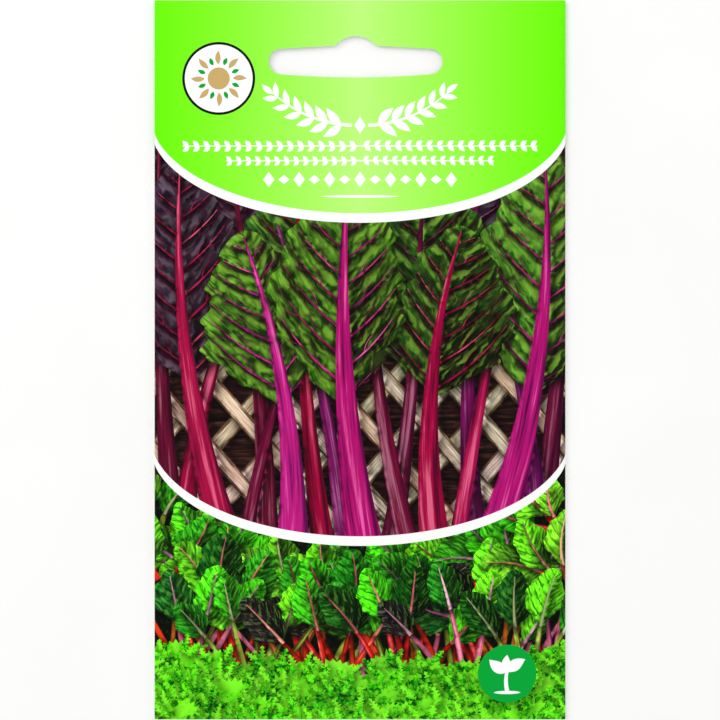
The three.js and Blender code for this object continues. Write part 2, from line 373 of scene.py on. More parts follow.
# %% Dried glue finish
glue_finish, tree, shader = new_material("dried_glue")
where = object_place(tree)
cloud = noise(tree, where, 260.0, 3.0)
bubbles = cells(tree, where, 1500.0)
feed(tree, shader.inputs["Base Color"], colour_ramp(
    tree, cloud, (0.3, srgb(214, 204, 168)), (0.7, srgb(238, 232, 208))))
feed(tree, shader.inputs["Roughness"], smooth_step(tree, cloud, 0.3, 0.7, 0.35, 0.6))
bump(tree, shader, bubbles, strength=0.5, distance=0.00005)
for name in ("back_seam_glue", "bottom_flap_glue", "header_glue"):
    node_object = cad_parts[name]
    node_object.data.materials.clear()
    node_object.data.materials.append(glue_finish)
print("glue films finished")

# %% [markdown]
# ## How the front lies over the seeds
# The front is held down all round, by the folds at its sides and foot and the glue in the header,
# and the seeds hold it up in the middle. Paper pulled over lumps behaves like a stiff skin: it
# touches the highest seeds and bridges the gaps.
# A cloth simulation would do this too, but on a closed flat packet it wrinkles at random and
# spoils the print. So the skin is relaxed on a grid: each point takes the mean of its
# neighbours, plus a little for the air inside, and never goes below the seed under it.
# A few shallow puckers along the side folds and at the foot are added afterwards, because
# paper can't stretch to make a pillow.

# %% Height of the front over its rim
PAPER = 0.12  # mm
RIM = 1.6  # stays pressed flat along each fold
SIDE_FOLD_X = 39.74  # where the side folds start
BOTTOM_FOLD_Y = -69.64
POCKET_FOOT = -67.4
POCKET_TOP = 46.0
SKIN_STEP = 1.0
SKIN_LEFT, SKIN_LOW = -40, -70
AIR = 0.0019  # how much the air inside lifts the skin at each step
SEED_DOME = 1.6  # height of the round top of a seed
SEED_GAP = 0.06  # between a seed and the paper
RELAXING_STEPS = 2600
across = np.arange(SKIN_LEFT, 41, SKIN_STEP)
upward = np.arange(SKIN_LOW, 71, SKIN_STEP)
grid_x, grid_y = np.meshgrid(across, upward)
held = np.full(grid_x.shape, -1.0)
for x, y, half_x, half_y, top in seed_tops:
    reach = ((grid_x - x) / half_x) ** 2 + ((grid_y - y) / half_y) ** 2
    dome = top - SEED_DOME + SEED_DOME * np.sqrt(np.clip(1 - reach, 0, None))
    over_seed = np.maximum(held, dome - (FRONT_LEVEL - PAPER) + SEED_GAP)
    held = np.where(reach < 1, over_seed, held)
free = (np.abs(grid_x) < SIDE_FOLD_X - RIM) & (grid_y > POCKET_FOOT) & (grid_y < POCKET_TOP)


def neighbours(heights):
    """The sum of each inner grid point's four neighbours."""
    return heights[:-2, 1:-1] + heights[2:, 1:-1] + heights[1:-1, :-2] + heights[1:-1, 2:]


rise = np.zeros(grid_x.shape)
for _ in range(RELAXING_STEPS):
    mean = np.zeros(rise.shape)
    mean[1:-1, 1:-1] = neighbours(rise) / 4
    rise = np.where(free, np.maximum(mean + AIR, held), 0.0)
print("front stands (mm) above its rim:", round(rise.max(), 2))

# %% Stiffness and puckers
SIDE_PUCKERS, FOOT_PUCKERS = 26, 9
for _ in range(5):
    mean = rise.copy()
    mean[1:-1, 1:-1] = (neighbours(rise) + 2 * rise[1:-1, 1:-1]) / 6
    rise = np.where(free, mean, 0.0)


def pucker(height, off, wide, inward, long):
    """A small fold that rises within 2 mm of the edge and then runs out inwards."""
    bulge = height * np.exp(-((off / wide) ** 2)) * (inward / 2)
    return bulge * np.exp(1 - inward / 2 - inward / long) * (inward > 0)


chance = random.Random(7)
for _ in range(SIDE_PUCKERS):
    side = chance.choice((-1, 1))
    y = chance.uniform(-60, 34)
    long, wide = chance.uniform(5, 11), chance.uniform(1.6, 3.2)
    height = chance.uniform(-0.16, 0.2)
    slant = chance.uniform(-0.25, 0.25)
    inward = (SIDE_FOLD_X - RIM) - side * grid_x
    rise += pucker(height, grid_y - y - slant * inward, wide, inward, long)
for _ in range(FOOT_PUCKERS):
    x = chance.uniform(-30, 30)
    long, wide = chance.uniform(5, 9), chance.uniform(1.8, 3.4)
    height = chance.uniform(-0.14, 0.18)
    inward = grid_y - POCKET_FOOT
    rise += pucker(height, grid_x - x - chance.uniform(-0.2, 0.2) * inward, wide, inward, long)
rise = np.where(free, np.maximum(rise, 0.0), 0.0)


def front_rise(x, y):
    """Height of the front over its rim at any point, from the four nearest grid points."""
    column = np.clip((x - SKIN_LEFT) / SKIN_STEP, 0, len(across) - 1.001)
    row = np.clip((y - SKIN_LOW) / SKIN_STEP, 0, len(upward) - 1.001)
    left, low = column.astype(int), row.astype(int)
    part_x, part_y = column - left, row - low
    lower = rise[low, left] * (1 - part_x) + rise[low, left + 1] * part_x
    upper = rise[low + 1, left] * (1 - part_x) + rise[low + 1, left + 1] * part_x
    return lower * (1 - part_y) + upper * part_y


print("highest after puckers (mm):", round(rise.max(), 2))

# %% [markdown]
# The paper was laid over plain domes, and the real seeds are rougher. Any knob that would reach
# the paper is worn down to just under it, so no seed comes through the print.

# %% Seeds under the paper
worn = 0.0
for seed in seeds:
    points = np.array([v.co for v in seed.data.vertices]) / MM
    ceiling = FRONT_LEVEL - PAPER - SEED_GAP + front_rise(points[:, 0], points[:, 1])
    worn = max(worn, (points[:, 2] - ceiling).max())
    points[:, 2] = np.minimum(points[:, 2], ceiling)
    seed.data.vertices.foreach_set("co", (points * MM).ravel())
    seed.data.update()
print("most that was worn off a seed (mm):", round(worn, 2))

# %% [markdown]
# ## The blank and its folds
# The flat blank has the front in the middle, a wing on each side that folds to the back, and a
# flap at the foot. A place on the blank is (u, v) in mm: on the front it is the same as (x, y).
# `folded` wraps the blank round its fold lines: an outer face turns through half a circle at each
# fold, and the right-hand wing climbs over the left-hand one where they lap.

# %% Folding the blank
SIDE_RADIUS = 0.26  # mm, outer face of the side folds
FOOT_RADIUS = 0.36
SIDE_ARC = math.pi * SIDE_RADIUS
FOOT_ARC = math.pi * FOOT_RADIUS
PRINT_EDGE = SIDE_FOLD_X + SIDE_ARC / 2  # the picture ends halfway round a fold
PRINT_FOOT = BOTTOM_FOLD_Y - FOOT_ARC / 2
CORNER_U, CORNER_V = PRINT_EDGE - 0.10, PRINT_FOOT + 0.12  # where both folds of a corner end
WING_LEVEL = 0.20  # height of the wings' outer face
LAP_LEVEL = 0.40
LAP_OUTER_EDGE = 2.0  # x where the outer, left-hand wing ends
LAP_INNER_EDGE = -8.0
CLIMB_START, CLIMB_END = 6.4, 3.1  # x between which the right-hand wing climbs
WING_FOOT = -69.26
TOP = 70.0
FLAP_TIP = -56.0
FLAP_HALF, FLAP_TAPER, FLAP_CORNER = 39.2, 5.0, 3.0
AROUND_SIDE = 2 * SIDE_FOLD_X + SIDE_ARC  # u on a wing is this less x, or less than minus this
AROUND_FOOT = 2 * BOTTOM_FOLD_Y - FOOT_ARC


def round_fold(past, arc, radius):
    """How far round a fold a point is, in radians, and how far past the fold's end, in mm."""
    return np.clip(past, 0, arc) / radius, np.clip(past - arc, 0, None)


def folded(u, v):
    """The outer face of the folded packet, in mm, for points of the flat blank."""
    x, y = u.copy(), v.copy()
    z = FRONT_LEVEL + front_rise(u, v)
    for side in (-1, 1):
        past = side * u - SIDE_FOLD_X
        angle, beyond = round_fold(past, SIDE_ARC, SIDE_RADIUS)
        wing_x = side * (SIDE_FOLD_X + SIDE_RADIUS * np.sin(angle) - beyond)
        wing_z = WING_LEVEL + SIDE_RADIUS * (1 + np.cos(angle))
        if side == 1:
            climb = np.clip((CLIMB_START - wing_x) / (CLIMB_START - CLIMB_END), 0, 1)
            climb = climb * climb * (3 - 2 * climb) * (past > SIDE_ARC)
            wing_z = wing_z + climb * (LAP_LEVEL - WING_LEVEL)
        x = np.where(past > 0, wing_x, x)
        z = np.where(past > 0, wing_z, z)
    past = BOTTOM_FOLD_Y - v
    angle, beyond = round_fold(past, FOOT_ARC, FOOT_RADIUS)
    y = np.where(past > 0, BOTTOM_FOLD_Y - FOOT_RADIUS * np.sin(angle) + beyond, y)
    side_angle = round_fold(np.abs(u) - SIDE_FOLD_X, SIDE_ARC, SIDE_RADIUS)[0]
    side_drop = SIDE_RADIUS * (1 - np.cos(side_angle))
    z = np.where(past > 0, FOOT_RADIUS * (1 + np.cos(angle)) - side_drop, z)
    return np.stack([x, y, z], 1)


BLANK_WIDE = 2 * AROUND_SIDE + LAP_OUTER_EDGE - LAP_INNER_EDGE
BLANK_HIGH = TOP - (AROUND_FOOT - FLAP_TIP)
print("flat blank (mm):", round(BLANK_WIDE, 1), "wide and", round(BLANK_HIGH, 1), "high")

# %% [markdown]
# The blank's edge is a plain outline, cut in where each wing meets the flap. The hang slot
# goes through all the layers at once, so on the flat blank it shows three times: once on the
# front and mirrored on each wing.

# %% Outline and slot
SLOT_X, SLOT_Y = -0.85, 58.1
SLOT_RADIUS, SLOT_BOW = 2.5, 0.6
SLOT_HALF = 16.95
SLOT_ARM = SLOT_HALF - SLOT_RADIUS  # from the slot's middle to the middle of its round end
CROWN_HALF, CROWN_TOP = 4.0, 4.95


def arc_points(x, y, radius, start, end, count):
    angles = np.linspace(start, end, count)
    return np.stack([x + radius * np.cos(angles), y + radius * np.sin(angles)], 1)


def bowed(start, bend, end, count):
    """Points of a curve from start to end that is drawn towards bend."""
    steps = np.linspace(0, 1, count)[:, None]
    start, bend, end = np.array(start), np.array(bend), np.array(end)
    return (1 - steps) ** 2 * start + 2 * steps * (1 - steps) * bend + steps**2 * end


def slot_outline():
    low_y = SLOT_Y - SLOT_RADIUS
    left, right = SLOT_X - SLOT_ARM, SLOT_X + SLOT_ARM
    under = bowed((left, low_y), (SLOT_X, low_y - 2 * SLOT_BOW), (right, low_y), 25)
    rise_up = CROWN_TOP - SLOT_RADIUS - SLOT_BOW
    crown_radius = (CROWN_HALF**2 + rise_up**2) / (2 * rise_up)
    half = math.asin(CROWN_HALF / crown_radius)
    quarter = math.pi / 2
    right_end = arc_points(right, SLOT_Y, SLOT_RADIUS, -quarter, quarter, 17)
    crown_y = SLOT_Y + CROWN_TOP - crown_radius
    crown = arc_points(SLOT_X, crown_y, crown_radius, quarter - half, quarter + half, 17)
    left_end = arc_points(left, SLOT_Y, SLOT_RADIUS, quarter, 3 * quarter, 17)
    return np.concatenate([under[:-1], right_end, crown, left_end[:-1]])


def blank_outline():
    flap_v = AROUND_FOOT - FLAP_TIP
    tip_half = FLAP_HALF - FLAP_TAPER
    corner = bowed(
        (tip_half - FLAP_CORNER, flap_v), (tip_half, flap_v), (tip_half, flap_v + FLAP_CORNER), 9)
    right = np.concatenate([
        corner,
        [[FLAP_HALF, BOTTOM_FOLD_Y - FOOT_ARC], [FLAP_HALF, CORNER_V]],
        [[CORNER_U, CORNER_V], [CORNER_U, WING_FOOT]],
        [[AROUND_SIDE - LAP_INNER_EDGE, WING_FOOT], [AROUND_SIDE - LAP_INNER_EDGE, TOP]]])
    left = np.concatenate([
        [[-AROUND_SIDE - LAP_OUTER_EDGE, TOP], [-AROUND_SIDE - LAP_OUTER_EDGE, WING_FOOT]],
        [[-CORNER_U, WING_FOOT], [-CORNER_U, CORNER_V]],
        [[-FLAP_HALF, CORNER_V], [-FLAP_HALF, BOTTOM_FOLD_Y - FOOT_ARC]],
        corner[::-1] * (-1, 1)])
    return np.concatenate([right, left])


SLOT = slot_outline()
SLOTS = [SLOT, (AROUND_SIDE, 0) + SLOT * (-1, 1), (-AROUND_SIDE, 0) + SLOT * (-1, 1)]
BLANK = blank_outline()
print("points on the outline:", len(BLANK), "and on each slot:", len(SLOT))

# %% [markdown]
# ## Zones of the print
# Two white bands bowed like a smile split the front: the green header is over the first, the
# picture lies between them, and a leafy strip runs under the second. Both are the same flat
# ellipse at different heights, so one formula gives every zone.

# %% Zones
HEADER, BAND, PICTURE, HEDGE, LEFT_WING, RIGHT_WING, FLAP = range(1, 8)
ARCH_WIDE, ARCH_HIGH = 41.0, 19.7
HEADER_FOOT, PICTURE_TOP = 28.4, 26.55  # heights of the bands' edges at the middle
PICTURE_FOOT, HEDGE_TOP = -34.0, -35.85


def arch(x, middle_y):
    share = np.clip(np.abs(x) / ARCH_WIDE, 0, 0.98)
    return middle_y + ARCH_HIGH * (1 - np.sqrt(1 - share**2))


def zone_of(u, v):
    zone = np.full(np.shape(u), HEDGE)
    bottom_up = ((BAND, HEDGE_TOP), (PICTURE, PICTURE_FOOT), (BAND, PICTURE_TOP), (HEADER, HEADER_FOOT))
    for name, foot in bottom_up:
        zone = np.where(v > arch(u, foot), name, zone)
    zone = np.where(v < PRINT_FOOT, FLAP, zone)
    zone = np.where(u < -PRINT_EDGE, LEFT_WING, zone)
    return np.where(u > PRINT_EDGE, RIGHT_WING, zone)


print("picture zone is", PICTURE_TOP - PICTURE_FOOT, "mm high at the middle")

# %% [markdown]
# ## Drawing tools
# The print is drawn as a stack of outlines, the last one on top, as in any drawing program. Each
# leaf or stem has a spine, a bowed middle line. It tells how far along the leaf and how far
# beside its middle a point lies, which is what the inks need to paint ribs and veins that follow
# the leaf. Long sides of an outline are split, so that the sheet can bend everywhere.

# %% Spines
class Spine:
    """A bowed middle line from start to end, with the direction and the side at each step."""

    def __init__(self, start, end, bow=0.0, count=24):
        start, end = np.array(start, float), np.array(end, float)
        chord = end - start
        side = np.array([-chord[1], chord[0]])
        bend = (start + end) / 2 + 2 * bow * side / np.hypot(*chord)
        self.line = bowed(start, bend, end, count)
        ahead = np.gradient(self.line, axis=0)
        self.ahead = ahead / np.hypot(ahead[:, 0], ahead[:, 1])[:, None]
        self.side = np.stack([-self.ahead[:, 1], self.ahead[:, 0]], 1)
        gaps = np.hypot(*np.diff(self.line, axis=0).T)
        self.along = np.concatenate([[0], np.cumsum(gaps)])
        self.length = self.along[-1]

    def at(self, share, which="line"):
        """The point, or the ahead or side direction, at a share of the length."""
        values = getattr(self, which)
        there = np.asarray(share) * self.length
        return np.stack([np.interp(there, self.along, values[:, k]) for k in (0, 1)], -1)

    def point(self, along, beside):
        """The point that far along the spine and that far to the left of it, in mm."""
        share = along / self.length
        past = along - min(max(along, 0.0), self.length)
        return self.at(share) + past * self.at(share, "ahead") + beside * self.at(share, "side")

    def place(self, points):
        """How far along and how far beside the spine each point lies, in mm."""
        gaps = points[:, None, :] - self.line[None, :, :]
        nearest = (gaps**2).sum(2).argmin(1)
        gap = gaps[np.arange(len(points)), nearest]
        along = self.along[nearest] + (gap * self.ahead[nearest]).sum(1)
        return along, (gap * self.side[nearest]).sum(1)


def two_sided(spine, shares, halves, other_halves=None):
    """A closed outline that stands off the spine by halves on each side."""
    middle, side = spine.at(shares), spine.at(shares, "side")
    other = halves if other_halves is None else other_halves
    left = middle + side * halves[:, None]
    right = middle - side * other[:, None]
    return np.concatenate([left, right[::-1]])


def way_up(degrees):
    """A step of 1 that leans by some degrees to the right of straight up."""
    angle = math.radians(degrees)
    return np.array([math.sin(angle), math.cos(angle)])


print("a bowed spine of 10 mm is", round(Spine((0, 0), (0, 10), 1).length, 2), "mm long")

# %% Adding shapes
LEAF_INK, DARK_LEAF_INK, SMALL_LEAF_INK = "leaf", "dark_leaf", "small_leaf"
STEM_INK, SLAT_INK, FERN_INK, SOLID_INK = "stem", "slat", "fern", "solid"
shapes = []
chance = random.Random(11)
LONGEST_SIDE = 1.3  # mm between two points of an outline


def add_shape(outline, zone, ink, colour, spine=None, half=1.0, rows=None):
    """Puts a shape on top of the drawing.

    half is its half width, or a function that gives it along the spine. rows is where its first
    side vein leaves the spine and how far apart the side veins are, in mm.
    """
    points = []
    for here, there in zip(outline, np.roll(outline, -1, axis=0)):
        pieces = max(1, math.ceil(np.hypot(*(there - here)) / LONGEST_SIDE))
        for k in range(pieces):
            points.append(here + (there - here) * k / pieces)
    shapes.append({
        "outline": np.array(points), "zone": zone, "ink": ink, "colour": colour,
        "spine": spine, "half": half, "rows": rows, "lot": chance.random()})


def varied(colour, amount=14):
    """A screen colour moved a little at random, so that no two leaves are alike."""
    lift = chance.uniform(-amount, amount)
    moved_parts = [part + lift + chance.uniform(-amount, amount) / 2 for part in colour]
    return srgb(*(min(255, max(0, part)) for part in moved_parts))


def add_taper(spine, start_half, end_half, zone, ink, colour,
              power=1.0, first=0.0, last=1.0, count=14):
    """Adds a stem, twig or slat that narrows from one share of its spine to another."""

    def half_at(share):
        part = np.clip((np.asarray(share) - first) / (last - first), 0, 1) ** power
        return start_half + (end_half - start_half) * part

    shares = np.linspace(first, last, count)
    add_shape(two_sided(spine, shares, half_at(shares)), zone, ink, colour, spine, half_at)


print("outlines are split every", LONGEST_SIDE, "mm")

# %% [markdown]
# A chard blade is waved along its edge and puffed up between its veins. Here its edge is a smooth
# profile with three sine waves on it. The side veins leave the spine at even steps and arch
# towards the tip by one formula. An ink can turn that formula round to find which row between two
# veins a point lies in, and puff the row up. Veins placed by hand would give no such rows.

# %% Blades and side veins
ROW_SLOPE, ROW_ARCH, ROW_STAGGER = 0.62, 0.5, 0.4
RUFFLES = ((1, 1), (2.3, 0.6), (0.45, 0.7))  # how many times the waves, and how deep
FORKS = ((0.36, -1), (0.62, 1))  # where each fork leaves its vein, and to which side
VEIN_REACH = 0.92  # of the way from the spine to the blade's edge


def blade_profile(share):
    """Half width of a leaf blade over its widest: a slim foot, and a round tip."""
    share = np.clip(share, 0, 1)
    return np.sin(np.pi * share ** 0.88) ** (1.3 - 0.75 * share)


def ruffled_blade(spine, first, half_wide, ruffle, waves, count, turned=0.0):
    """A leaf blade from a share of the spine to its end, with a wavy edge."""
    part = np.linspace(0, 1, count)
    fade = np.sin(np.pi * part) ** 0.5
    halves = []
    for side in (1, -1):
        wave = np.zeros(count)
        for times, depth in RUFFLES:
            wave = wave + depth * np.sin(2 * np.pi * waves * times * part + chance.uniform(0, 6.3))
        halves.append(half_wide * (1 + turned * side) * blade_profile(part) + ruffle * wave * fade)
    return two_sided(spine, first + (1 - first) * part, *halves)


def along_vein(rows, number, out, half_wide, side):
    """How far along the spine a side vein has come where it is that far out from it."""
    root = rows[0] + rows[1] * (number + ROW_STAGGER * (side > 0))
    return root + ROW_SLOPE * out + ROW_ARCH * out**2 / half_wide


def side_vein(spine, first, half_wide, rows, number, side, turned, colour, thick):
    """One side vein that arches towards the tip and stops short of the edge, with its forks."""
    half_here = half_wide * (1 + turned * side)
    outs = np.linspace(0.1, 1, 19) * half_here
    ends = along_vein(rows, number, outs, half_wide, side)
    edge = half_here * blade_profile((ends / spine.length - first) / (1 - first))
    reached = outs[outs < VEIN_REACH * edge]
    if len(reached) == 0 or reached.max() < 0.15 * half_wide:
        return
    reach = reached.max()
    root = spine.point(along_vein(rows, number, 0.0, half_wide, side), 0.0)
    end = spine.point(along_vein(rows, number, reach, half_wide, side), side * reach)
    sag = ROW_ARCH * reach**3 / (4 * half_wide * np.hypot(*(end - root)))
    vein = Spine(root, end, side * sag, 14)
    thickness = thick * (0.5 + 0.5 * reach / half_wide)
    for fork, turn in FORKS:
        start = vein.at(fork)
        way = vein.at(fork, "ahead") + 0.42 * turn * side * vein.at(fork, "side")
        twig = Spine(start, start + way * reach * (0.46 - 0.3 * fork), turn * side * 0.3, 6)
        add_taper(twig, thickness * 0.4, 0.05, PICTURE, STEM_INK, colour, count=4)
    add_taper(vein, thickness, 0.06, PICTURE, STEM_INK, colour, 0.7, count=10)


print("a blade is widest at", round(float(blade_profile(np.linspace(0, 1, 101)).argmax()) / 100, 2))

# %% [markdown]
# ## The picture: leaves in front of a trellis
# The middle of the front shows a row of tall leaves standing side by side before a garden
# trellis on dark boards. The stems are crimson and magenta and as thick as a finger in real life,
# and the blades are crinkled, green or nearly purple, with magenta veins.
# The leaves at the back are drawn first, then bare stems, then the leaves in front.

# %% Trellis
SLAT_HALF = 1.5
SLAT_PITCH = 11.5
SLAT_TAN = (214, 188, 158)
SLAT_ACROSS, SLAT_UP, SLAT_FOOT = 96.0, 108.0, -52.0
for slant in (1, -1):
    for k in range(-9, 10):
        foot = np.array([k * SLAT_PITCH - slant * SLAT_ACROSS / 2, SLAT_FOOT])
        tip = foot + np.array([slant * SLAT_ACROSS, SLAT_UP])
        slat = Spine(foot, tip, 0.0, 8)
        add_taper(slat, SLAT_HALF, SLAT_HALF, PICTURE, SLAT_INK, varied(SLAT_TAN, 22), count=2)
print("slats:", len(shapes))

# %% Tall leaves
def stem_foot(foot_x):
    """Where a stem starts, a little below the picture's lower edge."""
    return np.array([foot_x, arch(foot_x, PICTURE_FOOT) - 2.5])


def tall_leaf(foot_x, tip, bow, half_wide, stem_half, ink, green, red, first, turned=0.0):
    """A leaf whose blade starts at a share of its stem; turned makes one side the wider."""
    spine = Spine(stem_foot(foot_x), tip, bow, 48)
    rows = (spine.length * (first + 0.06 * (1 - first)), 0.42 * half_wide)
    leaf = ruffled_blade(spine, first, half_wide, ruffle=0.8, waves=5.2, count=72, turned=turned)
    add_shape(leaf, PICTURE, ink, varied(green, 8), spine, half_wide, rows)
    stem_colour = varied(red, 8)
    thick = 0.055 * stem_half + 0.11
    for number in range(int((1 - first) * spine.length / rows[1])):
        for side in (1, -1):
            side_vein(spine, first, half_wide, rows, number, side, turned, stem_colour, thick)
    add_taper(spine, stem_half, 0.14, PICTURE, STEM_INK, stem_colour, 0.72, 0.0, 0.98, 34)


def bare_stem(foot_x, tip, bow, stem_half, red):
    """A stem whose blade is hidden behind the others."""
    spine = Spine(stem_foot(foot_x), tip, bow, 40)
    add_taper(spine, stem_half, 0.3, PICTURE, STEM_INK, varied(red, 8), 0.8, count=28)


MAGENTA, CRIMSON, WINE, VIOLET = (184, 20, 116), (168, 6, 66), (104, 6, 48), (122, 14, 92)
FRESH_GREEN, DEEP_GREEN, PURPLE_GREEN = (82, 142, 34), (44, 94, 26), (56, 42, 54)
# Each leaf: x of its foot, its tip, bow, half width, half stem, ink, colours, share of the stem
# below the blade, and how much wider the left side is.
BACK_LEAVES = [
    (-37, (-39, 50), 1.0, 11.5, 2.2, DARK_LEAF_INK, PURPLE_GREEN, WINE, 0.30, 0.2),
    (36, (40, 52), -1.5, 12.0, 2.4, LEAF_INK, DEEP_GREEN, WINE, 0.34),
    (-18, (-27, 46), -2.0, 12.0, 2.5, DARK_LEAF_INK, PURPLE_GREEN, WINE, 0.36),
    (22, (24, 42), 2.0, 11.5, 2.5, DARK_LEAF_INK, PURPLE_GREEN, VIOLET, 0.38),
    (-7, (-12, 40), 1.5, 11.5, 2.4, LEAF_INK, DEEP_GREEN, CRIMSON, 0.44),
    (6, (12, 40), -1.5, 12.0, 2.4, LEAF_INK, DEEP_GREEN, WINE, 0.40, -0.2),
]
BARE_STEMS = [
    (-34, (-20, 24), 1.5, 2.3, CRIMSON),
    (34, (24, 20), -2.0, 2.2, VIOLET),
    (-3, (-16, 26), -2.0, 1.9, VIOLET),
    (9.5, (2, 24), 2.0, 2.3, WINE),
    (-22, (-8, 20), 1.0, 1.5, WINE),
    (19, (32, 30), 1.0, 1.8, CRIMSON),
]
FRONT_LEAVES = [
    (-27, (-35, 38), 3.0, 12.0, 3.3, DARK_LEAF_INK, PURPLE_GREEN, CRIMSON, 0.38, -0.15),
    (27, (36, 40), -3.5, 13.0, 3.7, LEAF_INK, FRESH_GREEN, MAGENTA, 0.34, 0.15),
    (-13, (-23, 25), -3.0, 11.0, 3.3, LEAF_INK, FRESH_GREEN, MAGENTA, 0.42, 0.2),
    (14.5, (20, 26), 3.4, 11.5, 3.2, LEAF_INK, DEEP_GREEN, CRIMSON, 0.44, -0.25),
    (1.0, (-2, 38), 2.6, 12.5, 3.9, LEAF_INK, FRESH_GREEN, MAGENTA, 0.36, 0.1),
]
for leaf in BACK_LEAVES:
    tall_leaf(*leaf)
for stem in BARE_STEMS:
    bare_stem(*stem)
for leaf in FRONT_LEAVES:
    tall_leaf(*leaf)
print("shapes so far:", len(shapes))

# %% [markdown]
# ## The hedge
# Under the second band runs a dense strip of young plants in rows. Each plant is a fan of small
# leaves on red, pink, orange or pale stems, and thick bare stems rise between the rows. The rows
# behind are drawn first, and follow the band above them, so that the strip is full to its edge.

# %% Small leaves on bright stems
STEM_HUES = [
    (226, 22, 14), (230, 52, 18), (190, 14, 104), (226, 112, 140), (150, 172, 44), (216, 108, 22)]
BRIGHT_LEAVES = [(80, 232, 14), (122, 250, 30), (56, 196, 12), (146, 255, 50)]
DEEP_LEAVES = [
    (22, 124, 18), (44, 168, 22), (14, 88, 18), (70, 206, 26), (30, 140, 22), (52, 34, 52)]


def hedge_leaf(foot, tip, half_wide, green, hue, first):
    """A short stem, its blade on top of it, and a paler rib on top of the blade."""
    spine = Spine(foot, tip, chance.uniform(-1.8, 1.8), 20)
    add_taper(spine, 0.70, 0.40, HEDGE, STEM_INK, varied(hue, 10), 1.0, 0.0, first + 0.08, 6)
    rows = (spine.length * (first + 0.08 * (1 - first)), 0.6 * half_wide)
    turned = chance.uniform(-0.2, 0.2)
    blade = ruffled_blade(spine, first, half_wide, 0.07 * half_wide, 3.1, 26, turned)
    add_shape(blade, HEDGE, SMALL_LEAF_INK, varied(green, 12), spine, half_wide, rows)
    rib = varied(tuple(part * 0.5 + 88 for part in hue), 10)
    add_taper(spine, 0.38, 0.08, HEDGE, STEM_INK, rib, 1.0, first, 0.94, 7)


def plant(x, y, size, fan, greens, first):
    """Leaves of one plant, from the outside in, each at an angle of the fan."""
    hue = chance.choice(STEM_HUES)
    for degrees in fan:
        way = way_up(degrees + chance.uniform(-7, 7))
        length = size * chance.uniform(0.88, 1.12)
        foot = np.array([x + 0.035 * degrees, y])
        half_wide = (1 - first) * length * chance.uniform(0.30, 0.38)
        hedge_leaf(foot, foot + length * way, half_wide, chance.choice(greens), hue, first)


def bare_stems(x, y, size, count=7):
    """Thick stems that rise from the ground and show between the leaves."""
    for k in range(count):
        hue = chance.choice(STEM_HUES)
        lean = -34 + 68 * k / (count - 1)
        way = way_up(lean + chance.uniform(-7, 7))
        foot = np.array([x + 0.11 * lean, y])
        tip = foot + size * chance.uniform(0.85, 1.1) * way
        spine = Spine(foot, tip, chance.uniform(-0.8, 0.8), 12)
        add_taper(spine, chance.uniform(0.55, 1.0), 0.4, HEDGE, STEM_INK, varied(hue, 10), count=8)


def row_height(x, down, under_band=-45.0, foot=-66.0):
    """Height of a row of plants, from just under the band to the foot of the packet."""
    upper = float(arch(x, under_band))
    return upper + (foot - upper) * down


def row_places(count, left, right, waver):
    """Where the plants of a row stand, each moved a little at random as its turn comes."""
    for k in range(count):
        yield left + (right - left) * k / (count - 1) + chance.uniform(-waver, waver)


for x in row_places(10, -40.5, 40.5, 1.5):
    plant(x, row_height(x, 0.10), 13.5, [-78, 74, -44, 40, -12], BRIGHT_LEAVES, 0.24)
for x in row_places(9, -38, 38, 1.5):
    bare_stems(x, row_height(x, 0.95), 17.0)
for x in row_places(7, -38, 38, 2.5):
    y = row_height(x, 0.34) + chance.uniform(-1.5, 1.5)
    plant(x, y, 14.5, [-76, 72, -36, 34, 0], BRIGHT_LEAVES + DEEP_LEAVES, 0.20)
for x in row_places(6, -34, 34, 2.5):
    y = row_height(x, 0.95) + chance.uniform(-1, 1)
    blade_start = chance.uniform(0.50, 0.64)
    plant(x, y, 24.0, [-38, 36, -12, 13], DEEP_LEAVES + BRIGHT_LEAVES[:2], blade_start)
print("shapes so far:", len(shapes))

# %% [markdown]
# Mounds of feathery foliage close the foot, over a ground of the same green that has small teeth
# along its top and fills the gaps between them. Each mound could be drawn as hundreds of leaflets.
# A toothed outline, a few fronds that stand off it and an ink that froths inside it look the same
# in print, and put far fewer edges in the mesh.

# %% Feathery foliage
SPRAY_HUES = [(84, 250, 0), (72, 244, 0), (106, 254, 24), (44, 196, 0)]
FROND_TEETH = 6
FOLIAGE_BOW = 0.0020  # how much the foliage rises towards the packet's sides
MOUND_ROWS = [  # height of the row, how many mounds, and how high they are
    (-63.0, 12, 4.4), (-65.5, 13, 4.2), (-68.0, 12, 4.2), (-71.0, 13, 4.2), (-74.0, 12, 4.6)]


def spray(foot, tip, half_wide, green):
    """A small frond: swept-back teeth on both sides of a spine."""
    spine = Spine(foot, tip, chance.uniform(-0.6, 0.6), 12)
    shares, halves = [], []
    for k in range(FROND_TEETH):
        start = 0.1 + 0.86 * k / FROND_TEETH
        wide = half_wide * math.sin(math.pi * min(1.0, 0.3 + 0.68 * k / FROND_TEETH)) ** 0.8
        shares += [start, start + 0.10]
        halves += [0.22 * wide + 0.06, wide]
    shares.append(1.0)
    halves.append(0.02)
    outline = two_sided(spine, np.array(shares), np.array(halves))
    add_shape(outline, HEDGE, FERN_INK, varied(green, 16), spine, half_wide)


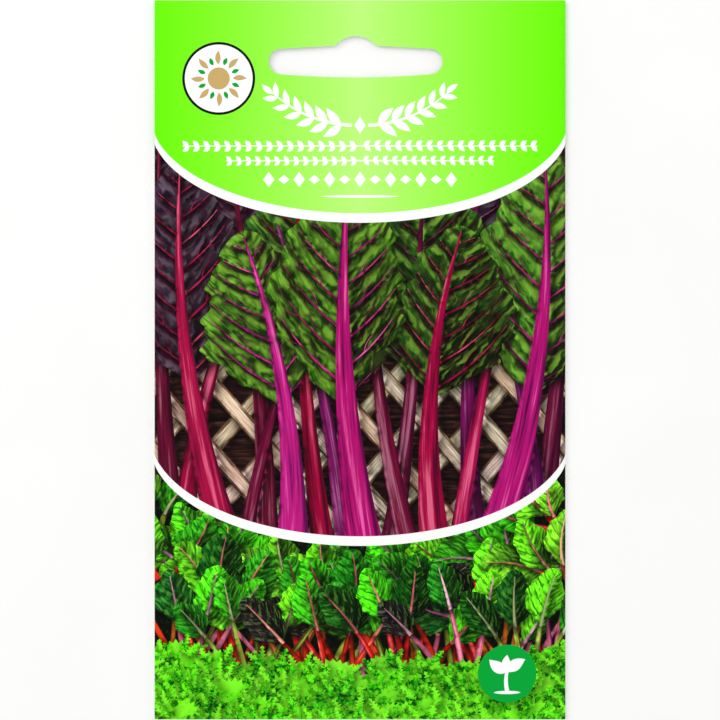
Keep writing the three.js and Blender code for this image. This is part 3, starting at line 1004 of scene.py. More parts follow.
def mound(x, y, half_wide, high, green):
    """A mound of feathery foliage with a toothed upper edge, and fronds that stand off it."""
    count = 34
    angles = np.linspace(-0.12 * math.pi, 1.12 * math.pi, count)
    reach = np.array([
        1 + (0.10 if k % 2 else -0.10) + chance.uniform(-0.07, 0.07) for k in range(count)])
    outline = np.stack([
        x + half_wide * reach * np.cos(angles), y + high * reach * np.sin(angles)], 1)
    spine = Spine((x, y - 0.3 * high), (x, y + high), 0.0, 8)
    add_shape(outline, HEDGE, FERN_INK, varied(green, 12), spine, half_wide)
    for _ in range(5):
        angle = chance.uniform(-1.25, 1.25)
        way = np.array([math.sin(angle), math.cos(angle)])
        root = np.array([x, y]) + way * (half_wide, high) - 2.6 * way
        tip = np.array([x, y]) + way * (half_wide, high) + chance.uniform(0.8, 2.4) * way
        spray(root, tip, chance.uniform(0.7, 1.1), green)


ground_x = np.linspace(-42, 42, 85)
teeth = 0.7 * (np.arange(85) % 2)
ground_top = np.stack([ground_x, -62.2 + FOLIAGE_BOW * ground_x**2 + teeth], 1)
ground = np.concatenate([ground_top, [[42, -75], [-42, -75]]])
add_shape(ground, HEDGE, FERN_INK, varied(SPRAY_HUES[0]), Spine((0, -75), (0, -58)), 42)
for row_y, mounds, high in MOUND_ROWS:
    for x in row_places(mounds, -42, 42, 1.6):
        y = row_y + chance.uniform(-1.2, 1.2) + FOLIAGE_BOW * x * x
        half_wide = chance.uniform(4.2, 5.8)
        mound(x, y, half_wide, high * chance.uniform(0.85, 1.2), chance.choice(SPRAY_HUES))
print("shapes so far:", len(shapes))

# %% [markdown]
# ## Header ornament and badges
# The header carries plain white ornament, drawn like the rest: a laurel under the hang slot, and
# below it, where a packet has its lines of print, two garlands of small leaves, a row of diamonds
# and a rule. A ringed white disc with a small sun sits at the upper left, and a green disc with a
# sprout at the lower right.

# %% Laurel, garlands and diamonds
WHITE = srgb(255, 255, 255)
LEAFLET_TURN = 0.72  # radians between a leaflet and its twig


def leaflet(start, angle, length, half, zone, colour, count=11):
    """A plain pointed leaf that grows from start at an angle, in radians."""
    tip = np.array(start) + length * np.array([math.cos(angle), math.sin(angle)])
    spine = Spine(start, tip, 0.06 * length, 10)
    part = np.linspace(0, 1, count)
    outline = two_sided(spine, part, half * np.sin(np.pi * part**0.9) + 0.01)
    add_shape(outline, zone, SOLID_INK, colour, spine, half)


def garland(y, half_long, leaf_long, pairs):
    """A straight row of small paired leaves that point outwards from the middle."""
    for side, outwards in ((1, 0.0), (-1, math.pi)):
        stalk = Spine((0, y), (side * half_long, y), 0.0, 6)
        add_taper(stalk, 0.15, 0.10, HEADER, SOLID_INK, WHITE, count=6)
        for k in range(pairs):
            for turn in (LEAFLET_TURN, -LEAFLET_TURN):
                root = stalk.at((k + 0.4) / pairs)
                leaflet(root, outwards + turn, leaf_long, 0.27 * leaf_long, HEADER, WHITE, 9)


def laurel(side):
    """A bowed branch from the middle to one side, with six pairs of leaves and one at its tip."""
    branch = Spine((side * 1.6, 45.7), (side * 17.0, 52.0), -side * 1.5, 20)
    add_taper(branch, 0.34, 0.12, HEADER, SOLID_INK, WHITE, count=16)
    for k in range(6):
        share = 0.12 + 0.80 * k / 5
        ahead = branch.at(share, "ahead")
        way = math.atan2(ahead[1], ahead[0])
        for turn in (LEAFLET_TURN, -LEAFLET_TURN):
            leaflet(branch.at(share), way + turn, 4.3 - 0.26 * k, 0.82 - 0.05 * k, HEADER, WHITE)
    leaflet(branch.at(1.0) - 0.2 * branch.at(1.0, "ahead"), way, 2.9, 0.55, HEADER, WHITE)


def rule(y, half_long, half_thick, zone=HEADER, colour=WHITE, x=0.0):
    """A line that thins out to both ends."""
    line = Spine((x - half_long, y), (x + half_long, y), 0.0, 6)
    part = np.linspace(0, 1, 13)
    outline = two_sided(line, part, half_thick * np.sin(np.pi * part) ** 0.5 + 0.02)
    add_shape(outline, zone, SOLID_INK, colour)


def diamond(x, y, half_wide, half_high):
    corners = [(x - half_wide, y), (x, y - half_high), (x + half_wide, y), (x, y + half_high)]
    add_shape(np.array(corners), HEADER, SOLID_INK, WHITE)


def disc(x, y, radius, zone, colour, count=72):
    outline = arc_points(x, y, radius, 0, 2 * math.pi, count + 1)[:-1]
    add_shape(outline, zone, SOLID_INK, colour)


for side in (1, -1):
    laurel(side)
diamond(0, 45.7, 1.1, 1.7)
garland(41.6, 34.5, 1.6, 17)
garland(38.7, 26.0, 1.4, 14)
for k in range(-6, 7):
    diamond(2.95 * k, 35.0, 1.1, 1.5 if k % 2 == 0 else 0.9)
rule(31.7, 7.5, 0.24)
print("shapes so far:", len(shapes))

# %% Badges
SUN_BADGE, SUN_BADGE_RADIUS, SUN_RING = (-27.5, 54.8), 7.1, 0.5
SPROUT_BADGE, SPROUT_BADGE_RADIUS = (28.6, -60.95), 5.7
TAN, INK_BLACK, BADGE_GREEN = srgb(203, 172, 108), srgb(14, 20, 18), srgb(0, 168, 56)


def sun(x, y, radius, rays):
    """A disc with rays round it, each given as its distance, length, half width and colour."""
    disc(x, y, radius, HEADER, TAN, 40 if len(rays) > 10 else 36)
    for k, (distance, length, half, colour) in enumerate(rays):
        angle = 2 * math.pi * k / len(rays)
        start = (x + distance * math.cos(angle), y + distance * math.sin(angle))
        leaflet(start, angle, length, half, HEADER, colour)


x, y = SUN_BADGE
disc(x, y, SUN_BADGE_RADIUS, HEADER, INK_BLACK)
disc(x, y, SUN_BADGE_RADIUS - SUN_RING, HEADER, WHITE)
sun(x, y, 2.15, [(2.75, 2.7, 0.52, TAN), (2.75, 1.6, 0.4, BADGE_GREEN)] * 8)
x, y = SPROUT_BADGE
disc(x, y, SPROUT_BADGE_RADIUS, HEDGE, BADGE_GREEN)
stalk = Spine((x, y - 3.4), (x, y + 0.6), 0.25, 8)
add_taper(stalk, 0.42, 0.3, HEDGE, SOLID_INK, WHITE, count=5)
for angle, length in ((0.62, 4.3), (math.pi - 0.62, 4.3), (math.pi / 2, 3.4)):
    leaflet((x, y + 0.3), angle, length, 0.26 * length, HEDGE, WHITE)
rule(y - 3.7, 2.6, 0.3, HEDGE, WHITE, x)
print("shapes on the front:", len(shapes))

# %% [markdown]
# ## The back
# The back has a green band at the top like the front. Below it are a plain chart of twelve months
# with those for sowing and picking filled in, three round signs for sun, water and a young plant,
# and a few rules and a twig. It is drawn once, seen through the packet from the front, and put on
# both wings. Each wing shows only the part that lies on it, so the drawing runs on across the lap.

# %% Drawing on the back
BACK_GREEN = srgb(92, 190, 40)
BACK_CRIMSON = srgb(196, 20, 112)
CREAM = srgb(250, 249, 240)
PALE_GREEN, PALE_PINK, WATER_BLUE = srgb(226, 240, 206), srgb(246, 222, 234), srgb(70, 150, 205)
RULE_GREEN, TWIG_GREEN = srgb(170, 205, 140), srgb(140, 205, 90)
BACK_BAND_FOOT = 42.2


def on_back(first_shape):
    """Moves the shapes since first_shape, drawn in x and y, to both wings of the blank."""
    drawn = shapes[first_shape:]
    del shapes[first_shape:]
    for shape in drawn:
        for zone, side in ((LEFT_WING, -1), (RIGHT_WING, 1)):
            outline = np.array([side * AROUND_SIDE, 0]) + shape["outline"] * (-1, 1)
            shapes.append({**shape, "outline": outline, "zone": zone, "spine": None})


def box(x, y, half_wide, half_high, colour):
    signs = np.array([(-1, -1), (1, -1), (1, 1), (-1, 1)])
    add_shape(signs * (half_wide, half_high) + (x, y), HEADER, SOLID_INK, colour)


first_on_back = len(shapes)
box(0, BACK_BAND_FOOT, 40.5, 0.35, BACK_GREEN)
CHART_HALF_WIDE, CHART_HALF_HIGH, CHART_LINE = 33.0, 6.2, 0.3
box(0, 27, CHART_HALF_WIDE, CHART_HALF_HIGH, BACK_GREEN)
box(0, 27, CHART_HALF_WIDE - CHART_LINE, CHART_HALF_HIGH - CHART_LINE, CREAM)
for k in range(12):
    x = -CHART_HALF_WIDE + (k + 0.5) * 2 * CHART_HALF_WIDE / 12
    sown, picked = 3 <= k <= 5, 6 <= k <= 9
    box(x, 29, 2.3, 2.0, BACK_GREEN if sown else PALE_GREEN)
    box(x, 24.6, 2.3, 1.4, BACK_CRIMSON if picked else PALE_PINK)
for x in (-20, 0, 20):
    disc(x, 9, 6.4, HEADER, BACK_GREEN)
    disc(x, 9, 6.0, HEADER, CREAM)
sun(-20, 9, 1.9, [(2.5, 2.0, 0.4, TAN)] * 10)
drop = np.concatenate([arc_points(0, 8, 2.1, -math.pi * 1.12, math.pi * 0.12, 24), [[0, 13.0]]])
add_shape(drop, HEADER, SOLID_INK, WATER_BLUE)
rule(5.6, 2.8, 0.28, HEADER, BACK_GREEN, 20)
for angle in (0.7, math.pi - 0.7):
    leaflet((20, 7.4), angle, 4.0, 1.1, HEADER, BACK_GREEN)
box(20, 7.0, 0.25, 1.6, BACK_GREEN)
for k in range(5):
    rule(-4.5 - 4.2 * k, 33 - 3.0 * (k % 2), 0.25, HEADER, RULE_GREEN)
rule(-52.5, 33, 0.4, HEADER, BACK_GREEN)
twig = Spine((-24, -46), (24, -31), -3.0, 30)
add_taper(twig, 0.5, 0.2, HEADER, SOLID_INK, BACK_GREEN, count=24)
for k in range(9):
    root, ahead = twig.at(0.08 + 0.105 * k), twig.at(0.08 + 0.105 * k, "ahead")
    way = math.atan2(ahead[1], ahead[0])
    for turn in (0.8, -0.8):
        leaflet(root, way + turn, 6.4 - 0.3 * k, 1.35, HEADER, TWIG_GREEN)
on_back(first_on_back)
print("shapes on the whole blank:", len(shapes))

# %% [markdown]
# ## Which shape is on top where
# A fine raster of the blank, 0.16 mm to a cell, notes the number of the topmost shape. It tells
# which stretches of an outline can be seen, so that hidden ones put no edges in the mesh. It also
# gives the soft shadows: a cell is darker if something above it in the stack lies close by
# towards the light, which is what lifts one painted leaf off the next.

# %% Raster of the drawing
CELL = 0.16
RASTER_LEFT, RASTER_LOW = -83.0, -86.0
RASTER_WIDE, RASTER_HIGH = 1080, 980
raster_u = RASTER_LEFT + (np.arange(RASTER_WIDE) + 0.5) * CELL
raster_v = RASTER_LOW + (np.arange(RASTER_HIGH) + 0.5) * CELL


def covered_cells(outline):
    """The cells inside an outline, row by row: odd counts of edges to the left are inside."""
    low = np.floor((outline.min(0) - (RASTER_LEFT, RASTER_LOW)) / CELL).astype(int)
    high = np.ceil((outline.max(0) - (RASTER_LEFT, RASTER_LOW)) / CELL).astype(int)
    left, foot = np.clip(low, 0, (RASTER_WIDE, RASTER_HIGH))
    right, head = np.clip(high, 0, (RASTER_WIDE, RASTER_HIGH))
    window = (slice(foot, head), slice(left, right))
    wide, heights = right - left, raster_v[foot:head]
    if wide <= 0 or len(heights) == 0:
        return window, None
    edges_met = np.zeros((len(heights), wide + 1), int)
    for (x1, y1), (x2, y2) in zip(outline, np.roll(outline, -1, axis=0)):
        rows = np.flatnonzero((y1 > heights) != (y2 > heights))
        if len(rows):
            at = x1 + (heights[rows] - y1) * (x2 - x1) / (y2 - y1)
            first_right = np.ceil((at - RASTER_LEFT) / CELL - 0.5).astype(int) - left
            edges_met[rows, np.clip(first_right, 0, wide)] += 1
    return window, np.cumsum(edges_met, 1)[:, :wide] % 2 == 1


all_u, all_v = np.meshgrid(raster_u, raster_v)
zones = zone_of(all_u, all_v)
on_top = np.full(zones.shape, -1)
for number, shape in enumerate(shapes):
    window, covered = covered_cells(shape["outline"])
    if covered is not None:
        covered &= zones[window] == shape["zone"]
        on_top[window] = np.where(covered, number, on_top[window])
print("cells with a shape on them:", int((on_top >= 0).sum()))

# %% Shadows between the shapes
COARSE = 2  # the shadows are soft, so every second cell will do
SHADOW_REACH = 8  # coarse cells
FAINTEST = 0.04
LIGHT_WAY = np.array([-0.55, 0.83])
coarse_top = on_top[::COARSE, ::COARSE]
coarse_zones = zones[::COARSE, ::COARSE]
coarse_shadow = np.zeros(coarse_top.shape)
in_picture = (coarse_zones == PICTURE) | (coarse_zones == HEDGE)
for step_x in range(-SHADOW_REACH, SHADOW_REACH + 1):
    for step_y in range(-SHADOW_REACH, SHADOW_REACH + 1):
        far = math.hypot(step_x, step_y)
        if not 0 < far <= SHADOW_REACH:
            continue
        towards_light = (step_x * LIGHT_WAY[0] + step_y * LIGHT_WAY[1]) / far
        strength = (1 - far / (SHADOW_REACH + 1)) * (0.5 + 0.5 * towards_light)
        if strength <= FAINTEST:
            continue
        above = np.roll(coarse_top, (-step_y, -step_x), (0, 1))
        higher = (above > coarse_top) & in_picture
        coarse_shadow = np.where(higher, np.maximum(coarse_shadow, strength), coarse_shadow)
shadow = coarse_shadow.repeat(COARSE, 0).repeat(COARSE, 1)


def cell_of(points):
    """The row and the column of the raster that each point lies in, on it or off it."""
    steps = np.floor((points - (RASTER_LEFT, RASTER_LOW)) / CELL).astype(int)
    return steps[:, 1], steps[:, 0]


def raster_value(raster, points, beyond=0):
    """The raster's value at each point, or beyond where the point is off the raster."""
    row, column = cell_of(points)
    on_it = (column >= 0) & (column < RASTER_WIDE) & (row >= 0) & (row < RASTER_HIGH)
    values = raster[np.clip(row, 0, RASTER_HIGH - 1), np.clip(column, 0, RASTER_WIDE - 1)]
    return np.where(on_it, values, beyond)


print("deepest shadow:", round(float(shadow.max()), 2))

# %% [markdown]
# ## From drawing to mesh
# A constrained triangulation cuts the flat blank along its outline, its fold lines and each
# outline in the drawing that can be seen, with a grid of points between them for the bulge. Every
# triangle then lies in one shape only, so the print's edges stay sharp however near one looks.
# It could be painted as one texture instead, but that would blur at the first close view.

# %% Visible edges
def steps_between(here, there, longest):
    """Points from here up to but not including there, at most longest apart."""
    here, there = np.array(here, float), np.array(there, float)
    count = max(1, math.ceil(np.hypot(*(there - here)) / longest))
    return [here + (there - here) * k / count for k in range(count)]


corners, edges = [], []


def add_line(points, closed, seen=None):
    """Adds a line to what the triangulation must keep, or only its stretches that are seen."""
    ends = np.array(points)
    count = len(ends)
    starts = np.arange(count if closed else count - 1)
    keep = starts if seen is None else starts[seen]
    used = {}
    for start in keep:
        for number in (start, (start + 1) % count):
            if number not in used:
                used[number] = len(corners)
                corners.append(ends[number])
        edges.append((used[start], used[(start + 1) % count]))


least_on_top = on_top.copy()
for step_x in (-1, 0, 1):
    for step_y in (-1, 0, 1):
        least_on_top = np.minimum(least_on_top, np.roll(on_top, (step_y, step_x), (0, 1)))
for number, shape in enumerate(shapes):
    outline = shape["outline"]
    middles = (outline + np.roll(outline, -1, axis=0)) / 2
    near_zone = np.zeros(len(middles), bool)
    for shift in ((0, 0), (2, 0), (-2, 0), (0, 2), (0, -2)):
        near_zone |= raster_value(zones, middles + np.array(shift) * CELL) == shape["zone"]
    add_line(outline, True, near_zone & (raster_value(least_on_top, middles) <= number))
print("edges of the drawing that show:", len(edges))

# %% Outline, folds and bands
OUTLINE_STEP, FOLD_STEP = 2.0, 1.6  # longest stretch between two points, in mm


def even_line(points, closed, longest):
    found = []
    stops = list(points) + ([points[0]] if closed else [])
    for here, there in zip(stops, stops[1:]):
        found += steps_between(here, there, longest)
    if not closed:
        found.append(np.array(points[-1], float))
    return found


def straight_line(start, end):
    add_line(even_line([start, end], False, FOLD_STEP), False)


add_line(even_line(BLANK, True, OUTLINE_STEP), True)
for slot in SLOTS:
    add_line(slot, True)
upright_lines = (
    (SIDE_FOLD_X, CORNER_V), (PRINT_EDGE, WING_FOOT), (SIDE_FOLD_X + SIDE_ARC, WING_FOOT))
level_lines = (
    (BOTTOM_FOLD_Y, CORNER_U), (PRINT_FOOT, FLAP_HALF), (BOTTOM_FOLD_Y - FOOT_ARC, FLAP_HALF))
for side in (-1, 1):
    for line_u, low in upright_lines:
        straight_line((side * line_u, low), (side * line_u, TOP))
for line_v, half in level_lines:
    straight_line((-half, line_v), (half, line_v))
band_x = np.linspace(-PRINT_EDGE, PRINT_EDGE, 81)
for foot in (HEADER_FOOT, PICTURE_TOP, PICTURE_FOOT, HEDGE_TOP):
    add_line(np.stack([band_x, arch(band_x, foot)], 1), False)
print("edges with the folds:", len(edges))

# %% Points between the edges
FRONT_STEP, HEADER_STEP, WING_STEP = 0.9, 1.8, 2.6
taken = np.zeros(zones.shape, bool)
row, column = cell_of(np.array(corners))
taken[np.clip(row, 0, RASTER_HIGH - 1), np.clip(column, 0, RASTER_WIDE - 1)] = True
near = taken.copy()
for step_x in (-2, -1, 0, 1, 2):
    for step_y in (-2, -1, 0, 1, 2):
        near |= np.roll(taken, (step_y, step_x), (0, 1))


def grid_points(left, right, low, high, step):
    """A grid of points, with every second row half a step further on."""
    columns = np.linspace(left, right, max(2, round((right - left) / step)))
    rows = np.linspace(low, high, max(2, round((high - low) / step)))
    x, y = np.meshgrid(columns, rows)
    x = x + (np.arange(len(rows)) % 2)[:, None] * step * 0.5
    return np.stack([x.ravel(), y.ravel()], 1)


patches = [
    grid_points(-39.2, 38.8, -69.2, POCKET_TOP, FRONT_STEP),
    grid_points(-39.2, 38.2, POCKET_TOP, 69.5, HEADER_STEP),
    grid_points(41.5, 87.0, -68.5, 69.0, WING_STEP),
    grid_points(-81.5, -41.5, -68.5, 69.0, WING_STEP),
    grid_points(-36.0, 36.0, -83.5, -71.2, WING_STEP),
]
points = np.concatenate(patches)
points = points[raster_value(near, points) == 0]
eighths = np.arange(1, 8) / 8
fold_columns = SIDE_FOLD_X + SIDE_ARC * eighths
fold_rows = BOTTOM_FOLD_Y - FOOT_ARC * eighths
round_folds = [
    (side * u, v) for side in (-1, 1) for u in fold_columns for v in np.arange(-69.0, 70.0, FOLD_STEP)]
round_folds += [(u, v) for v in fold_rows for u in np.arange(-39.0, 39.1, FOLD_STEP)]
round_folds += [(side * u, v) for u in fold_columns[:3] for v in fold_rows[:3] for side in (1, -1)]
points = np.concatenate([points, round_folds])
print("points between the edges:", len(points))

# %% Triangulate the flat blank
def inside(points, outline):
    """Which points lie inside a closed outline, by counting the edges to the right of each."""
    found = np.zeros(len(points), bool)
    x, y = points[:, 0], points[:, 1]
    for (x1, y1), (x2, y2) in zip(outline, np.roll(outline, -1, axis=0)):
        if y1 != y2:
            crosses = (y1 > y) != (y2 > y)
            found ^= crosses & (x < (x2 - x1) * (y - y1) / (y2 - y1) + x1)
    return found


all_points = [Vector(p) for p in np.concatenate([np.array(corners), points])]
flat_points, _, triangles, _, _, _ = delaunay_2d_cdt(all_points, edges, [], 0, 1e-5)
flat = np.array([tuple(p) for p in flat_points])
triangles = np.array([t for t in triangles if len(t) == 3])
centres = flat[triangles].mean(1)
on_paper = inside(centres, BLANK)
for slot in SLOTS:
    on_paper &= ~inside(centres, slot)
triangles, centres = triangles[on_paper], centres[on_paper]
print("points:", len(flat), "triangles:", len(triangles))

# %% [markdown]
# ## The drawing on the triangles
# Each triangle takes the topmost shape round its middle. Its three corners then get what the
# inks read: the place along and beside the shape's spine, the shape's own colour with its light,
# a number that sets one shape's pattern off from the next one's, and its row of side veins.

# %% Shape of each triangle
face_zone = zone_of(centres[:, 0], centres[:, 1])
face_shape = np.full(len(triangles), -1)
by_x = np.argsort(centres[:, 0])
sorted_x = centres[by_x, 0]
for number, shape in enumerate(shapes):
    low, high = shape["outline"].min(0), shape["outline"].max(0)
    strip = by_x[np.searchsorted(sorted_x, low[0]):np.searchsorted(sorted_x, high[0], "right")]
    height = centres[strip, 1]
    close = strip[(height >= low[1]) & (height <= high[1]) & (face_zone[strip] == shape["zone"])]
    if len(close):
        face_shape[close[inside(centres[close], shape["outline"])]] = number
print("triangles inside a drawn shape:", int((face_shape >= 0).sum()), "of", len(triangles))

# %% Light at each corner
corner_flat = flat[triangles]
corner_points = corner_flat.reshape(-1, 2)
corner_shape = np.repeat(face_shape, 3)
corner_light = np.full(len(corner_shape), -1.0)
near_steps = [(x, y) for x in range(-4, 5) for y in range(-4, 5)]
near_steps.sort(key=lambda step: step[0] ** 2 + step[1] ** 2)
for step in near_steps:
    unlit = np.flatnonzero(corner_light < 0)
    probes = corner_points[unlit] + np.array(step) * CELL
    same = raster_value(on_top, probes, -2) == corner_shape[unlit]
    corner_light[unlit[same]] = 1 - raster_value(shadow, probes[same])
unseen = corner_light < 0
corner_light[unseen] = 1 - raster_value(shadow, corner_points[unseen])
print("corners with no cell of their own shape:", int(unseen.sum()))

# %% What the inks read
INKS = ["header", "band", "boards", "soil", "back", LEAF_INK, DARK_LEAF_INK, SMALL_LEAF_INK,
        STEM_INK, SLAT_INK, FERN_INK, SOLID_INK]
ground_ink = {HEADER: "header", BAND: "band", PICTURE: "boards", HEDGE: "soil"}
corner_place = np.zeros((len(triangles), 3, 3))
corner_ink = np.ones((len(triangles), 3, 4))
corner_lot = np.zeros((len(triangles), 3, 3))
face_ink = np.array([INKS.index(ground_ink.get(z, "back")) for z in face_zone])
by_shape = np.argsort(face_shape, kind="stable")
shape_starts = np.searchsorted(face_shape[by_shape], np.arange(len(shapes) + 1))
for number, shape in enumerate(shapes):
    its_faces = by_shape[shape_starts[number]:shape_starts[number + 1]]
    if not len(its_faces):
        continue
    face_ink[its_faces] = INKS.index(shape["ink"])
    corner_ink[its_faces] = shape["colour"]
    corner_lot[its_faces, :, 0] = shape["lot"]
    spine, half = shape["spine"], shape["half"]
    if spine is None:
        continue
    along, beside = spine.place(corner_flat[its_faces].reshape(-1, 2))
    half_here = half(along / spine.length) if callable(half) else half
    corner_place[its_faces] = np.stack([along, beside, beside / half_here], 1).reshape(-1, 3, 3)
    corner_lot[its_faces, :, 1] = (along / spine.length).reshape(-1, 3)
    if shape["rows"]:
        side = np.sign(beside)
        first_vein = along_vein(shape["rows"], 0, np.abs(beside), half, side)
        corner_lot[its_faces, :, 2] = ((along - first_vein) / shape["rows"][1]).reshape(-1, 3)
corner_ink[..., 3] = corner_light.reshape(-1, 3)
print("inks used:", {name: int((face_ink == i).sum()) for i, name in enumerate(INKS)})

# %% [markdown]
# ## Inks
# Each ink is one material of the sheet. They share the coated paper under them: a satin surface
# whose gloss varies a little, with the faint tooth of the paper in a bump. Above that, the paint
# function of each draws its own pattern in real millimetres. Light and shade in the drawing is
# part of the ink, as in any printed picture: a height pattern is read twice, a little apart, and
# the difference says which side of each bump is lit.

# %% Coated paper
GLOSS = (0.40, 0.50)  # lowest and highest roughness


def page_mm(tree):
    """Object coordinates in millimetres."""
    made = add_node(tree, "ShaderNodeVectorMath", operation="SCALE")
    feed(tree, made.inputs[0], object_place(tree))
    made.inputs["Scale"].default_value = 1000.0
    return made.outputs[0]


def ink(name, paint, *settings, gloss=GLOSS, **more):
    """Coated paper in the colour that paint gives, from the place on the page in mm."""
    material, tree, shader = new_material(name)
    page = page_mm(tree)
    tooth = noise(tree, page, 3.2, 4.0, 0.6)
    wave = noise(tree, page, 0.12, 2.0)
    feed(tree, shader.inputs["Roughness"], smooth_step(tree, wave, 0.3, 0.7, *gloss))
    bump(tree, shader, tooth, strength=0.25, distance=0.00002)
    shader.inputs["Specular IOR Level"].default_value = 0.06
    feed(tree, shader.inputs["Base Color"], paint(tree, page, *settings, **more))
    return material


def read(tree, name, output):
    return add_node(tree, "ShaderNodeAttribute", attribute_name=name).outputs[output]


def own_colour(tree):
    """The colour that each shape was given."""
    return read(tree, "ink", "Color")


print("paper surface ready")

# %% Plain inks
PACKET_HALF = 40  # mm


def grained(tree, page, colour, scale=2.0, dimmest=0.97):
    """colour, a little uneven as ink on paper is."""
    return tinted(tree, colour, smooth_step(tree, noise(tree, page, scale, 3.0), 0.3, 0.7, dimmest, 1.0))


def from_middle(tree, x):
    """0 on the packet's middle line and 1 at its side edges."""
    return sums(tree, "MULTIPLY", sums(tree, "ABSOLUTE", x), 1 / PACKET_HALF)


def header_paint(tree, page):
    """A green that pales from the side edges to the middle."""
    share = from_middle(tree, split(tree, page)[0])
    middle, edge = (190, 255, 125), (106, 252, 0)
    stops = []
    for k in range(6):
        part = k / 5
        stops.append((part, srgb(*(a + (b - a) * part for a, b in zip(middle, edge)))))
    return grained(tree, page, colour_ramp(tree, share, *stops), 2.5, 0.985)


def solid_paint(tree, page):
    """Flat colour in the shape's own hue."""
    return grained(tree, page, own_colour(tree), dimmest=0.975)


def back_paint(tree, page):
    """Cream below, and a green band at the head that continues the front's."""
    x, y = split(tree, page)[:2]
    share = from_middle(tree, x)
    green = colour_ramp(tree, share, (0.0, srgb(190, 250, 130)), (1.0, srgb(116, 232, 20)))
    mottle = noise(tree, page, 1.4, 3.0)
    cream = colour_ramp(tree, mottle, (0.3, srgb(246, 245, 234)), (0.7, srgb(252, 251, 244)))
    return blend_colour(tree, sums(tree, "GREATER_THAN", y, BACK_BAND_FOOT), cream, green)


print("plain inks ready")

# %% Painted light
def moved(tree, vector, by):
    made = add_node(tree, "ShaderNodeVectorMath", operation="ADD")
    feed(tree, made.inputs[0], vector)
    made.inputs[1].default_value = by
    return made.outputs[0]


def puffed(tree, vector):
    """Height of a puffed blade: large cushions with small ones on them, and creases between."""
    large = smooth_step(tree, cells(tree, vector, 1.5, "DISTANCE_TO_EDGE"), 0.0, 0.5)
    small = smooth_step(tree, cells(tree, vector, 3.6, "DISTANCE_TO_EDGE"), 0.0, 0.4)
    return sums(tree, "MULTIPLY_ADD", small, 0.25, large)


def lot_of(tree):
    """A number of each shape's own, how far along it the point lies, and its row of side veins."""
    return split(tree, read(tree, "lot", "Vector"))[:3]


def own_number(tree, spread):
    return sums(tree, "MULTIPLY", lot_of(tree)[0], spread)


def own_page(tree, page):
    """The page in mm, with each shape's pattern taken from a place of its own."""
    x, y = split(tree, page)[:2]
    return combine(tree, x, y, own_number(tree, 40.0))


def wavered(tree, place, waves, scale, amount):
    """place, pushed about by the colours of a noise."""
    drift = add_node(tree, "ShaderNodeTexNoise")
    feed(tree, drift.inputs["Vector"], waves)
    drift.inputs["Scale"].default_value = scale
    pushed = add_node(tree, "ShaderNodeVectorMath", operation="MULTIPLY_ADD")
    return feed_all(tree, pushed, drift.outputs["Color"], (amount, amount, 0.0), place)


def lit(tree, base, light, shade_to, light_to, amount=0.7, share=0.5, gain=1.0):
    """base, darkened where light is low, and where it is high brightened towards light_to."""
    dark = tinted(tree, base, shade_to)
    colour = blend_colour(tree, smooth_step(tree, light, -0.42, 0.05), dark, base)
    bright = tinted(tree, base, (gain, gain, gain, 1.0))
    bright = blend_colour(tree, share, bright, light_to)
    return blend_colour(tree, smooth_step(tree, light, 0.04, 0.5, 0.0, amount), colour, bright)


def shadowed(tree, colour, depth=0.94):
    """colour under the shadow of the shapes above it."""
    lightness = read(tree, "ink", "Alpha")
    return tinted(tree, colour, smooth_step(tree, lightness, 0.0, 1.0, 1 - depth, 1.0))


print("painted light ready")

# %% Leaf inks
def broad_light(tree, page, pitch, outward, share, dimmest):
    """Soft large light: in patches, more on one half of the blade, and more near the tip."""
    patches = sums(tree, "MULTIPLY_ADD", noise(tree, page, 0.5 / pitch, 1.0), 1.5, -0.75)
    across_blade = smooth_step(tree, outward, -0.25, 0.25, -0.25, 0.25)
    lengthwise = smooth_step(tree, share, 0.3, 1.0, -0.25, 0.25)
    together = sums(tree, "ADD", sums(tree, "ADD", patches, across_blade), lengthwise)
    return smooth_step(tree, together, -0.5, 0.5, dimmest, 1.38)


def leaf_paint(tree, page, pitch, net_colour, net_share, shade_to, light_to,
               waver=0.5, dimmest=0.4, arching=0.3, share_to_light=0.5, gain=1.0):
    """A blade puffed up in rows between its side veins, with creases, and one half in more light.

    pitch is the rows' width in mm. The net is the lines of the finest veins. arching is how much
    the light changes across each row, and waver how crooked the rows are.
    """
    page = own_page(tree, page)
    number, share, row = lot_of(tree)
    number = sums(tree, "MULTIPLY", number, 40.0)
    _, beside, outward = split(tree, read(tree, "place", "Vector"))[:3]
    base = tinted(tree, own_colour(tree), broad_light(tree, page, pitch, outward, share, dimmest))
    rows = combine(tree, row, sums(tree, "MULTIPLY", beside, 1 / pitch), number)
    rows = wavered(tree, rows, page, 1.6 / pitch, waver)
    row = split(tree, rows)[0]
    slope = smooth_step(tree, sums(tree, "FRACT", row), 0.05, 0.95, -arching, arching)
    towards_light = moved(tree, rows, (0.14, 0.105, 0.0))
    light = sums(tree, "SUBTRACT", puffed(tree, rows), puffed(tree, towards_light))
    light = sums(tree, "ADD", light, slope)
    colour = lit(tree, base, light, shade_to, light_to, 0.7, share_to_light, gain)
    to_crease = cells(tree, rows, 1.5, "DISTANCE_TO_EDGE")
    crease = smooth_step(tree, to_crease, 0.0, 0.09, net_share, 0.0)
    colour = blend_colour(tree, crease, colour, net_colour)
    from_vein = sums(tree, "PINGPONG", row, 0.5)
    near_vein = smooth_step(tree, from_vein, 0.02, 0.14, 0.5, 0.0)
    return shadowed(tree, blend_colour(tree, near_vein, colour, net_colour))


print("leaf inks ready")

